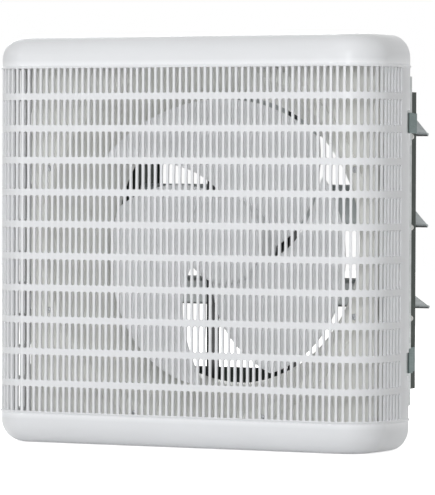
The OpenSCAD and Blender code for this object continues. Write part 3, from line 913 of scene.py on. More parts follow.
@dataclass
class Cover:
    """The moulded cover: lattice, caps and the spring fingers."""

    bench: Bench
    width: float = 452.0
    height: float = 430.0
    depth: float = 95.0
    wall: float = 2.6
    cap_round: float = 24.0
    row_pitch: float = 33.6
    rows: int = 11
    slot_pitch: float = 7.29
    lattice_wall: float = 2.2
    slot_width: float = 4.6
    slot_height: float = 27.0
    slot_round: float = 2.1
    slot_lip: float = 0.45
    front_columns: int = 50
    wrap_columns: int = 14
    notch_height: float = 24.0
    notch_depth: float = 7.0
    notch_level: float = 125.0
    notch_round: float = 2.5
    bead_height: float = 4.0
    bead_out: float = 1.2
    bead_root: float = -0.3
    corner_cuts: int = 23
    latch_half: float = 9.0
    latch_level: float = 67.2
    latch_reach: float = 20.4
    latch_wall: float = 1.6

    @property
    def flat_half(self) -> float:
        """Half width of the flat front."""
        return self.front_columns / 2 * self.slot_pitch

    @property
    def corner(self) -> float:
        """Radius of the vertical corners."""
        return self.width / 2 - self.flat_half

    @property
    def rows_half(self) -> float:
        """Half height of the lattice."""
        return self.rows * self.row_pitch / 2

    @property
    def corner_arc(self) -> float:
        """Length round one vertical corner."""
        return self.corner * math.pi / 2

    @property
    def half_length(self) -> float:
        """Length from the middle of the front to the rear edge of a side."""
        return self.flat_half + self.corner_arc + self.depth - self.corner

    def wrapped(self, along: float, up: float, out: float) -> Vector:
        """Place a point of the unrolled cover on its real outline.

        Args:
            along: distance along the outline from the middle of the front, to the right.
            up: height.
            out: distance outside the outer face.

        Returns:
            The point.
        """
        side, run = math.copysign(1.0, along), abs(along) - self.flat_half
        if run <= 0:
            return Vector((along, -self.depth - out, up))
        turn = min(run / self.corner, math.pi / 2)
        past = max(0.0, run - self.corner_arc)
        reach = self.corner + out
        x = self.flat_half + reach * math.sin(turn)
        y = -self.depth + self.corner - reach * math.cos(turn) + past
        return Vector((side * x, y, up))

    def wrap(self, obj: Piece) -> None:
        """Bend a flat piece, along X, up Y and out Z, round the cover's outline.

        Args:
            obj: the piece.
        """
        for vert in obj.data.vertices:
            vert.co = self.wrapped(*vert.co)
        obj.data.update()

    def cell(self) -> Piece:
        """Model one slot with its share of the bars, flat, its outer face at Z 0.

        Returns:
            The cell, an open sheet.
        """
        bench = self.bench
        near = 0.01
        lean = 0.8
        straight = (self.slot_width / 2 - self.slot_round, self.slot_height / 2 - self.slot_round)
        rim = (self.slot_width / 2 + 0.05, self.slot_height / 2 + 0.05)
        bench.clear()
        bpy.ops.mesh.primitive_circle_add(vertices=16, radius=self.slot_round, enter_editmode=True)

        def stretch(co: Vector) -> Vector:
            """Pull the round into a tall slot."""
            x, y = (c + math.copysign(s, c) if abs(c) > near else c for c, s in zip(co.xy, straight))
            return Vector((x, y, 0))

        def spread(co: Vector) -> Vector:
            """Spread a point of the slot's rim onto the cell's edge, with the bars' ends rounded out.

            Args:
                co: the point.

            Returns:
                Its new place.
            """
            x, y = (c - math.copysign(s, c) if abs(c) > near else 0.0 for c, s in zip(co.xy, straight))
            flat = Vector((x, y)) / max(abs(x), abs(y))
            if abs(flat.x) < 1 - near:
                flat.x *= 2 * self.slot_width / self.slot_pitch
            elif near < abs(flat.y) < 1 - near:
                flat.y = math.copysign(lean, flat.y)
            return Vector((flat.x * self.slot_pitch / 2, flat.y * self.row_pitch / 2, co.z))

        def at_slot(item: object) -> bool:
            """Say whether an edge lies on the slot's rim."""
            return all(abs(v.co.x) < rim[0] and abs(v.co.y) < rim[1] for v in item.verts)

        bench.move_points(stretch)
        bpy.ops.mesh.select_all(action="SELECT")
        bpy.ops.mesh.extrude_edges_move()
        bench.move_points(spread, chosen=True)
        bench.pick(Pick.EDGE, at_slot)
        bpy.ops.mesh.extrude_edges_move(TRANSFORM_OT_translate={"value": (0, 0, -self.lattice_wall)})
        bpy.ops.mesh.extrude_edges_move()
        bench.move_points(spread, chosen=True)
        bench.round_edges(lambda e: at_slot(e) and e.verts[0].co.z > -near and e.verts[1].co.z > -near,
                          self.slot_lip, 2)
        obj = bench.seal()
        # An open sheet has no inside for that operator to go by.
        if max(obj.data.polygons, key=lambda p: p.center.z).normal.z < 0:
            obj.data.flip_normals()
        return obj

    def sheet(self, name: str, start: float, columns: int) -> Piece:
        """Repeat the cell over a run of the unrolled cover.

        Args:
            name: the piece's name.
            start: where the run starts along the outline.
            columns: slots in a row.

        Returns:
            The flat lattice, open round its outer edge.
        """
        obj = self.cell()
        obj.name = name
        obj.data.transform(shift(start + self.slot_pitch / 2, -(self.rows - 1) / 2 * self.row_pitch, 0))
        for count, step in ((columns, (self.slot_pitch, 0, 0)), (self.rows, (0, self.row_pitch, 0))):
            self.bench.modify(obj, "ARRAY", count=count, use_relative_offset=False, use_constant_offset=True,
                              constant_offset_displace=step, use_merge_vertices=True, merge_threshold=0.02)
        return obj

    def close_rim(self, obj: Piece) -> None:
        """Bridge the front and rear outlines of a lattice into a closed wall.

        Args:
            obj: the lattice.
        """
        self.bench.edit(obj)
        self.bench.pick(Pick.EDGE, lambda e: e.is_boundary)
        bpy.ops.mesh.bridge_edge_loops()
        self.bench.close()

    def front(self) -> None:
        """Build the flat front lattice."""
        obj = self.sheet("front_lattice", -self.flat_half, self.front_columns)
        self.close_rim(obj)
        self.wrap(obj)
        self.bench.finish(obj, Slot.COVER, "front_grille", body=Body.COVER)

    def side(self, name: str) -> None:
        """Build a corner with its straight side.

        Args:
            name: right or left.
        """
        bench, end = self.bench, self.half_length
        obj = self.sheet("side_lattice_" + name, self.flat_half, self.wrap_columns)
        lattice_end = self.flat_half + self.wrap_columns * self.slot_pitch
        bench.edit(obj)
        bench.pick(Pick.EDGE, lambda e: e.is_boundary and all(v.co.x > lattice_end - 0.05 for v in e.verts))
        bpy.ops.mesh.extrude_edges_move(TRANSFORM_OT_translate={"value": (end - lattice_end, 0, 0)})
        bench.close()
        self.close_rim(obj)
        for level in (-self.notch_level, self.notch_level):
            notch = bench.block("notch", (end - self.notch_depth, level - self.notch_height / 2, -9),
                                (end + 5, level + self.notch_height / 2, 9))
            bench.edit(notch)
            bench.round_edges(lambda e: runs(e, 2) and e.verts[0].co.x < end, self.notch_round, 4)
            bench.close()
            bench.cut(obj, notch)
        self.wrap(obj)
        if name == "left":
            bench.transform(obj, mirror("X"))
        bench.finish(obj, Slot.COVER, "corner_grille_" + name, "side_grille_" + name, body=Body.COVER)

    def cap(self, name: str) -> None:
        """Build a smooth cap with its bead.

        Args:
            name: top or bottom.
        """
        bench, top = self.bench, self.height / 2
        half = self.width / 2
        obj = bench.block("cap_" + name, (-half, -self.depth, self.rows_half), (half, 0, top))
        bench.edit(obj)
        bench.round_edges(lambda e: runs(e, 2) and e.verts[0].co.y < -1, self.corner, 16)
        bench.open_faces(lambda f: abs(f.normal.z + 1) < 0.01 or abs(f.normal.y - 1) < 0.01)
        bench.round_edges(lambda e: all(abs(v.co.z - top) < 0.01 for v in e.verts) and not e.is_boundary,
                          self.cap_round, 10)
        bench.close()
        bench.thicken(obj, self.wall)
        obj = bench.join(obj.name, [obj, self.bead()])
        if name == "bottom":
            bench.transform(obj, mirror("Z"))
        bench.finish(obj, Slot.COVER, name + "_cap", body=Body.COVER, angle=35.0)

    def bead(self) -> Piece:
        """Model the raised bead along the foot of the top cap.

        Returns:
            The bead.
        """
        bench, end, root, out = self.bench, self.half_length, self.bead_root, self.bead_out
        low = self.rows_half - self.bead_height
        ridge = [(low, root), (low, out - 0.4), (low + 0.4, out), (low + 1.2, out), (low + 2.2, out - 0.6),
                 (low + 2.7, root)]
        obj = bench.prism("bead", ridge, -end, end, "X")
        cuts = [self.flat_half + k / self.corner_cuts * self.corner_arc for k in range(self.corner_cuts + 1)]
        bench.edit(obj)
        for place in (*(-cut for cut in reversed(cuts)), 0.0, *cuts):
            bpy.ops.mesh.select_all(action="SELECT")
            bpy.ops.mesh.bisect(plane_co=(place, 0, 0), plane_no=(1, 0, 0))
        bench.close()
        self.wrap(obj)
        return obj

    def latches(self) -> None:
        """Bend the four spring fingers that hold the cover."""
        bench, half, level = self.bench, self.latch_half, self.latch_level
        foot, tip = self.width / 2 - self.lattice_wall, self.width / 2 - self.latch_reach
        inner = tip + self.latch_wall
        hook = [(foot, -14), (foot, -6), (foot - 2, -6), (foot - 2, -12), (inner, -12), (inner, -13.6),
                (inner, -29), (tip + 0.8, -30), (tip, -28), (tip, -14)]
        finger = bench.soften(bench.prism("finger", hook, -half, half), 0.3)
        moves = [side @ shift(0, 0, z) for side in (mirror("X"), Matrix()) for z in (-level, level)]
        bench.finish(bench.spread("fingers", finger, moves), Slot.COVER, "cover_latches", body=Body.COVER)

    def build(self) -> None:
        """Build the cover's pieces."""
        self.latches()
        self.front()
        for name in ("right", "left"):
            self.side(name)
        for name in ("top", "bottom"):
            self.cap(name)


@dataclass
class AirPath:
    """Bell mouth, orifice panel, body walls, back plate, sleeve and foam."""

    bench: Bench
    at: Layout
    mouth: float = 188.5
    throat: float = 152.5
    throat_start: float = 34.0
    throat_end: float = 57.0
    wall: float = 1.2
    lip_round: float = 7.0
    waist_round: float = 30.0
    fit: float = 0.2
    flange: float = 4.8
    screws: int = 8
    box_round: float = 2.0
    plate_x: float = 219.0
    plate_z: float = 208.0
    plate_clip: float = 8.0
    wall_hole: Point = (212.0, 150.0)
    wall_hole_radius: float = 2.75
    leg: float = 12.0
    foam_front: float = 20.0
    foam_width: float = 12.0
    foam_height: float = 6.0

    @property
    def lean(self) -> float:
        """Slope of the bell's cone from the fan's axis, in radians."""
        return math.atan((self.mouth - self.throat) / (self.throat_start + self.at.panel_y + self.wall))

    @property
    def hole(self) -> float:
        """Radius of the round opening in the panel."""
        return self.mouth + self.lip_round * math.tan((math.pi / 2 - self.lean) / 2) + self.fit

    def bell(self) -> None:
        """Spin the bell mouth: flat flange, rolled lip, cone, waist and straight throat."""
        front, t, cone, flat = -self.at.panel_y - self.wall, self.wall, math.pi + self.lean, 1.5 * math.pi
        lip = (self.hole - self.fit, front + self.lip_round)
        bend = self.waist_round
        waist = (self.throat + bend, self.throat_start + bend * math.tan(self.lean / 2))
        rim, edge = self.hole + 2 * self.flange, 0.4
        skin = [(self.throat, self.throat_end), *arc(waist, bend, math.pi, cone, 8),
                *arc(lip, self.lip_round, cone, flat, 12), (rim - edge, front), (rim, front + edge)]
        back = [(rim, front + t), *arc(lip, self.lip_round - t, flat, cone, 12),
                *arc(waist, bend - t, cone, math.pi, 8), (self.throat + t, self.throat_end)]
        self.bench.finish(self.bench.lathe("bell", skin + back, 144), Slot.BODY, "bell_mouth")

    def bell_screws(self) -> None:
        """Set the screws of the bell."""
        bench, at, circle = self.bench, self.at, self.hole + self.flange
        moves = []
        for k in range(self.screws):
            turn = 360 / self.screws * (k + 0.5)
            x, z = circle * math.cos(math.radians(turn)), circle * math.sin(math.radians(turn))
            moves.append(shift(x, -at.panel_y - self.wall, z) @ turned(3 * turn, "Y"))
        screw = bench.screw(*at.screw, 6.2)
        bench.settle(bench.spread("screws_bell", screw, moves), Slot.BRIGHT, "bell_screws")

    def box(self) -> None:
        """Fold the orifice panel and the body walls."""
        bench, at = self.bench, self.at
        x, z, y, inner = at.box_x, at.box_z, -at.panel_y, at.sheet - at.panel_y
        panel = bench.block("panel", (-x, y, -z), (x, inner, z))
        bench.cut(panel, bench.rod("hole", self.hole, y - 1, inner + 1, steps=128))
        bench.finish(panel, Slot.BODY, "orifice_panel", edge=0.35)
        walls = bench.block("walls", (-x, inner, -z), (x, -at.plate, z))
        bench.edit(walls)
        bench.round_edges(lambda e: runs(e, 1), self.box_round, 4)
        bench.open_faces(lambda f: abs(f.normal.y) > 0.9)
        bench.close()
        bench.thicken(walls, at.sheet)
        bench.finish(walls, Slot.BODY, "body_walls", edge=0.3, steps=1)

    def back_plate(self) -> None:
        """Cut the plate that lies on the wall."""
        bench, at = self.bench, self.at
        t, h, x, z = at.plate, at.sleeve_half, self.plate_x, self.plate_z
        plate = bench.prism("plate", clipped(-x, x, -z, z, self.plate_clip), -t, 0.0, "Y")
        wall_x, wall_z = self.wall_hole
        holes = [bench.rod("hole", self.wall_hole_radius, -t - 1, 1, at=(side_x, side_z), steps=24)
                 for side_x in (-wall_x, wall_x) for side_z in (-wall_z, wall_z)]
        holes.append(bench.block("opening", (-h, -t - 1, -h), (h, 1, h)))
        holes.append(bench.rod("gland_hole", at.gland, -t - 1, 1, at=at.gland_at, steps=40))
        bench.finish(bench.cut(plate, *holes), Slot.ZINC, "back_plate", edge=0.3)

    def sleeve(self) -> None:
        """Fold the four sheets of the wall sleeve."""
        bench, at = self.bench, self.at
        h, i, e = at.sleeve_half, at.sleeve_in, at.sleeve_end
        leg = i - self.leg
        channel = [(-h, leg), (-i, leg), (-i, i), (i, i), (i, leg), (h, leg), (h, h), (-h, h)]
        for name, turn in (("top", 0), ("bottom", 180)):
            obj = bench.prism("sheet_" + name, channel, 0.0, e, "Y")
            bench.cut(obj, *[bench.rod("hole", at.screw_hole, i - 1, h + 1, "Z", (x, at.stay_y), 20)
                             for x in at.stay_places])
            bench.transform(obj, turned(turn, "Y"))
            bench.finish(obj, Slot.ZINC, "sleeve_" + name, edge=0.5, steps=3)
        for name, low, high in (("left", -h, -i), ("right", i, h)):
            obj = bench.block("sheet_" + name, (low, 0, -leg), (high, e, leg))
            bench.finish(obj, Slot.ZINC, "sleeve_" + name, edge=0.3)

    def foam(self) -> None:
        """Lay the foam strip round the sleeve."""
        bench, inner, front = self.bench, self.at.sleeve_half, self.foam_front
        outer, rear = inner + self.foam_height, front + self.foam_width
        foam = bench.block("foam", (-outer, front, -outer), (outer, rear, outer))
        bench.cut(foam, bench.block("hole", (-inner, front - 1, -inner), (inner, rear + 1, inner)))
        bench.finish(foam, Slot.FOAM, "foam_seal", edge=1.2, steps=3)

    def build(self) -> None:
        """Build the air path's pieces."""
        self.bell()
        self.bell_screws()
        self.box()
        self.back_plate()
        self.sleeve()
        self.foam()


@dataclass
class Wheel:
    """The three-blade sickle wheel with its hub and cap."""

    bench: Bench
    blades: int = 3
    tip: float = 147.5
    tip_flare: float = 5.5
    tip_turn: float = 27.0
    thickness: float = 2.2
    lead_sweep: float = 55.0
    trail_hub_turn: float = 158.0
    trail_tip_turn: float = 100.0
    lead_hub: float = 18.0
    lead_tip: float = -20.0
    trail_hub: float = 46.0
    trail_tip: float = 42.0
    camber: float = 1.25
    hub: float = 46.0
    hub_front: float = 15.0
    hub_rear: float = 50.0
    hub_wall: float = 3.0
    boss: Point = (9.0, 13.0)
    ribs: int = 6
    cap_front: float = 6.0
    cap_rise: float = 7.0
    cap_wall: float = 2.0

    def blade_point(self, out: float, back: float) -> Vector:
        """Give a point of a blade's mean surface.

        Args:
            out: 0 at the hub to 1 at the tip.
            back: 0 at the leading edge to 1 at the trailing edge.

        Returns:
            The point.
        """
        root = self.hub - self.hub_wall / 2
        r = root + out * (self.tip + self.tip_flare * (1 - back) - root)
        lead = -self.lead_sweep * (1 - out) ** 1.35
        trail = -self.trail_hub_turn + (self.trail_hub_turn - self.trail_tip_turn) * out ** 0.8
        turn = math.radians(self.tip_turn + lead + back * (trail - lead))
        front = self.lead_hub + (self.lead_tip - self.lead_hub) * out ** 1.4
        rear = self.trail_hub + (self.trail_tip - self.trail_hub) * out
        y = front + (rear - front) * (1 - (1 - back) ** self.camber)
        return Vector((r * math.cos(turn), y, r * math.sin(turn)))

    def blade(self) -> Piece:
        """Model one blade from a grid.

        Returns:
            The blade.
        """
        self.bench.clear()
        bpy.ops.mesh.primitive_grid_add(x_subdivisions=26, y_subdivisions=44, size=1.0)
        obj = active()
        for vert in obj.data.vertices:
            out, back = (min(1.0, max(0.0, c + 0.5)) for c in vert.co.xy)
            vert.co = self.blade_point(out, back)
        obj.data.update()
        self.bench.thicken(obj, self.thickness, 0.0)
        self.bench.edit(obj)
        return self.bench.soften(self.bench.seal(), 0.9, 3, 50.0)

    def hub_shell(self) -> Piece:
        """Spin the hub with its web and boss, and set its ribs.

        Returns:
            The hub.
        """
        bench, r, f, e = self.bench, self.hub, self.hub_front, self.hub_rear
        bore, boss = self.boss
        rim = r - self.hub_wall
        section = [(bore, f + 8), (boss, f + 8), (boss, f + 12), (rim, f + 12), (rim, f), (r, f), (r, e),
                   (rim, e), (rim, f + 15), (boss, f + 15), (boss, f + 34), (bore, f + 34)]
        shell = bench.soften(bench.lathe("hub_shell", section), 0.7)
        rib = bench.soften(bench.block("rib", (-1.2, f + 14, boss - 1), (1.2, f + 30, rim + 1)), 0.4)
        turns = [turned(360 / self.ribs * k, "Y") for k in range(self.ribs)]
        return bench.join("hub_shell", [shell, bench.spread("ribs", rib, turns)])

    def cap(self) -> None:
        """Spin the domed cap."""
        r, f, rise, wall = self.hub, self.cap_front, self.cap_rise, self.cap_wall
        dome = (r * r + rise * rise) / (2 * rise)

        def drop(x: float) -> float:
            """Give how far the dome has dropped back at a distance from the axis."""
            return dome - math.sqrt(dome * dome - x * x)

        outer = [(x, f + drop(x)) for x in (0, 6, 12, 18, 24, 30, 35, 39, 42, 43.5)]
        seat = self.hub_front
        lip = [(44.8, f + 7.1), (45.6, f + 7.8), (r, f + 8.6), (r, seat), (r - wall, seat)]
        inner = [(x, f + wall + drop(x)) for x in (42, 36, 28, 20, 12, 6, 0)]
        cap = self.bench.lathe("wheel_cap", outer + lip + inner)
        self.bench.finish(cap, Slot.WHEEL, "spinner_cap", body=Body.ROTOR)

    def build(self) -> None:
        """Build the wheel's pieces."""
        bench = self.bench
        turns = [turned(-360 / self.blades * k, "Y") for k in range(self.blades)]
        blades = bench.spread("blades", self.blade(), turns)
        wheel = bench.join("wheel", [self.hub_shell(), blades])
        bench.finish(wheel, Slot.WHEEL, "fan_wheel", body=Body.ROTOR, angle=45.0)
        self.cap()


@dataclass
class Drive:
    """Motor can and caps, clamp band, rubbers and the two upright stays."""

    bench: Bench
    at: Layout
    can_wall: float = 1.6
    shaft: float = 5.0
    band_half: float = 10.0
    pad_half: float = 11.0
    pad_wedge: float = 2.5
    rubber: float = 9.0
    rubber_long: float = 3.0
    stay_half: float = 13.0
    stay_flange: float = 25.0
    stay_wall: float = 2.0

    def end_cap(self, name: str, joint: float, out: int, boss: float, bore: float) -> None:
        """Spin one end cap of the motor.

        Args:
            name: front or rear.
            joint: where it meets the can along the axis.
            out: direction away from the can, 1 or -1.
            boss: height of its boss over the joint.
            bore: radius of the hole for the shaft, 0 for none.
        """
        r, floor, lip = self.at.can, boss - 3, 4
        plug = r - self.can_wall - self.at.gap
        section = [(bore, boss), (15.5, boss), (17, boss - 1.5), (17, lip), (r - 3, lip), (r, 2), (r, 0),
                   (plug, 0), (plug, -lip), (r - 5, -lip), (r - 5, 0), (19, 0), (19, -lip), (11, -lip),
                   (11, floor), (bore, floor)]
        cap = self.bench.lathe("cap_" + name, [(x, joint + out * along) for x, along in section])
        self.bench.finish(cap, Slot.CAST, f"motor_{name}_cap", edge=0.5)

    def motor(self) -> None:
        """Spin the can and both end caps."""
        at, start = self.at, self.at.can_front + 4
        r, inner, end = at.can, at.can - self.can_wall, at.can_rear
        can = self.bench.lathe("can", [(inner, start), (r, start), (r, end), (inner, end)])
        self.bench.finish(can, Slot.MOTOR, "motor_can", edge=0.5, steps=3)
        self.end_cap("front", start, -1, 9, self.shaft + 1)
        self.end_cap("rear", end, 1, 8, 0)

    def band(self) -> None:
        """Model the clamp band with its pads, and the rubbers."""
        bench, at, half = self.bench, self.at, self.band_half
        y, r, foot = at.stay_y, at.can, at.stay_x - self.rubber_long
        outer = r + self.can_wall
        ring = bench.lathe("band", [(r, y - half), (outer, y - half), (outer, y + half), (r, y + half)])
        pad = bench.block("pad", (r + 0.4, y - half, -self.pad_half), (foot, y + half, self.pad_half))
        bench.edit(pad)
        bench.pick(Pick.VERT, lambda v: v.co.x < r + 1)
        bench.move_points(lambda co: co - Vector((self.pad_wedge, 0, 0)), chosen=True)
        bench.close()
        bench.cut(pad, bench.rod("hollow", r + 0.2, y - half - 1, y + half + 1, steps=96))
        bench.finish(bench.join("band", [ring, bench.pair("pads", pad)]), Slot.ZINC, "motor_band", edge=0.4)
        rubber = bench.soften(bench.rod("rubber", self.rubber, foot, at.stay_x, "X", (y, 0.0), 40), 0.6, 3)
        bench.finish(bench.pair("rubbers", rubber), Slot.RUBBER, "rubber_mounts")

    def stays(self) -> None:
        """Bend the two upright stays and set their screws."""
        bench, at, t = self.bench, self.at, self.stay_wall
        y, x, i = at.stay_y, at.stay_x, at.sleeve_in
        far = x + self.stay_flange
        channel = [(x, -i), (far, -i), (far, t - i), (x + t, t - i), (x + t, i - t), (far, i - t), (far, i),
                   (x, i)]
        bar = bench.prism("stay", channel, y - self.stay_half, y + self.stay_half, "Y")
        for low in (-i - t, i - 2 * t):
            bench.cut(bar, *[bench.rod("hole", at.screw_hole, low, low + 3 * t, "Z", (x + step, y), 20)
                             for step in at.stay_holes])
        bench.finish(bench.pair("stays", bench.soften(bar, 0.6, 3)), Slot.MOTOR, "motor_stays")
        screw = bench.screw(*at.screw, at.sheet + t)
        moves = [shift(place, y, sign * (i - t)) @ turned(90 * sign, "X")
                 for sign in (-1, 1) for place in at.stay_places]
        bench.settle(bench.spread("screws_stay", screw, moves), Slot.BRIGHT, "stay_screws")

    def build(self) -> None:
        """Build the drive's pieces."""
        self.motor()
        self.band()
        self.stays()


@dataclass
class Electrics:
    """Capacitor with its strap, terminal box and cable gland in the corners of the body."""

    bench: Bench
    at: Layout
    inset: float = 23.0
    can: float = 14.0
    can_long: float = 66.0
    can_foot: float = -174.0
    strap: float = 1.2
    strap_wide: float = 16.0
    terminal_z: float = -118.0
    terminal_pitch: float = 8.0
    hood: Point = (18.0, 32.0)
    hood_wall: float = 1.5
    hood_clip: float = 3.0
    cable: float = 6.0

    def capacitor(self) -> None:
        """Spin the capacitor, set its tabs and fold its strap."""
        bench, r, n, t = self.bench, self.can, self.can_long, self.at.plate
        x, y, z = self.inset - self.at.box_x, -t - self.can - 2, self.can_foot
        section = [(0, 0), (r - 1.5, 0), (r, -1.5), (r, 4 - n), (r - 1, 3 - n), (r - 1, -n), (0, -n)]
        body = bench.soften(bench.lathe("capacitor_can", section, 56), 0.4)
        body.data.transform(turned(-90, "X"))
        tabs = [bench.soften(bench.block("tab", (s - 0.4, -3.1, n - 1), (s + 0.4, 3.1, n + 8)), 0.25)
                for s in (-4.5, 4.5)]
        can = bench.transform(bench.join("capacitor_can", [body, *tabs]), shift(x, y, z))
        bench.finish(can, Slot.GREY, "capacitor")
        s, wall, wide, low = r + self.strap, self.strap, self.strap_wide, z + (n - self.strap_wide) / 2
        strap = bench.rod("strap", s, low, low + wide, "Z", (x, y), 64)
        bench.cut(strap, bench.block("foot", (x - s, y, low), (x + s, -t, low + wide)), how="UNION")
        bench.cut(strap, bench.rod("hollow", r + 0.02, low - 1, low + wide + 1, "Z", (x, y), 64))
        bench.cut(strap, bench.block("hollow", (x - s + wall, y, low - 1),
                                     (x + s - wall, -t - wall, low + wide + 1)))
        bench.finish(strap, Slot.ZINC, "capacitor_strap", edge=0.25)

    def terminals(self) -> None:
        """Model the terminal block and its cover."""
        bench, t, pitch, wall = self.bench, self.at.plate, self.terminal_pitch, self.hood_wall
        x, z = self.at.box_x - self.inset, self.terminal_z
        block = bench.block("terminals", (x - 14, -24, z - 16), (x + 14, -t, z + 16))
        wells = [bench.rod("well", 3.0, -25, -14, at=(x, z + up), steps=28) for up in (-pitch, 0, pitch)]
        bench.cut(block, *wells)
        bench.finish(block, Slot.GREY, "terminal_block", edge=0.5)
        half, deep = self.hood
        low, high = z - 28, z + 26
        left, right = x - half, x + half
        hood = bench.prism("terminal_hood", clipped(left, right, low, high, self.hood_clip), -deep, -t, "Y")
        bench.cut(hood, bench.block("hollow", (left + wall, wall - deep, low + wall),
                                    (right - wall, 0, high - wall)))
        bench.cut(hood, bench.rod("cable_way", 8.0, low - 6, low + 6, "Z", (x, -14.0)))
        bench.finish(hood, Slot.GREY, "terminal_cover", edge=0.6, steps=3)

    def gland(self) -> None:
        """Model the cable gland with its six-sided nut."""
        bench, t, r, at = self.bench, self.at.plate, self.at.gland, self.at.gland_at
        sleeve = bench.rod("gland", r - 0.2, -t - 7, 2.0, at=at, steps=48)
        bench.cut(sleeve, bench.rod("nut", r + 3, -t - 4, -t, at=at, steps=6), how="UNION")
        bench.cut(sleeve, bench.rod("bore", self.cable, -t - 8, 3, at=at, steps=48))
        bench.finish(sleeve, Slot.RUBBER, "cable_gland", edge=0.4)

    def build(self) -> None:
        """Build the electric pieces."""
        self.capacitor()
        self.terminals()
        self.gland()


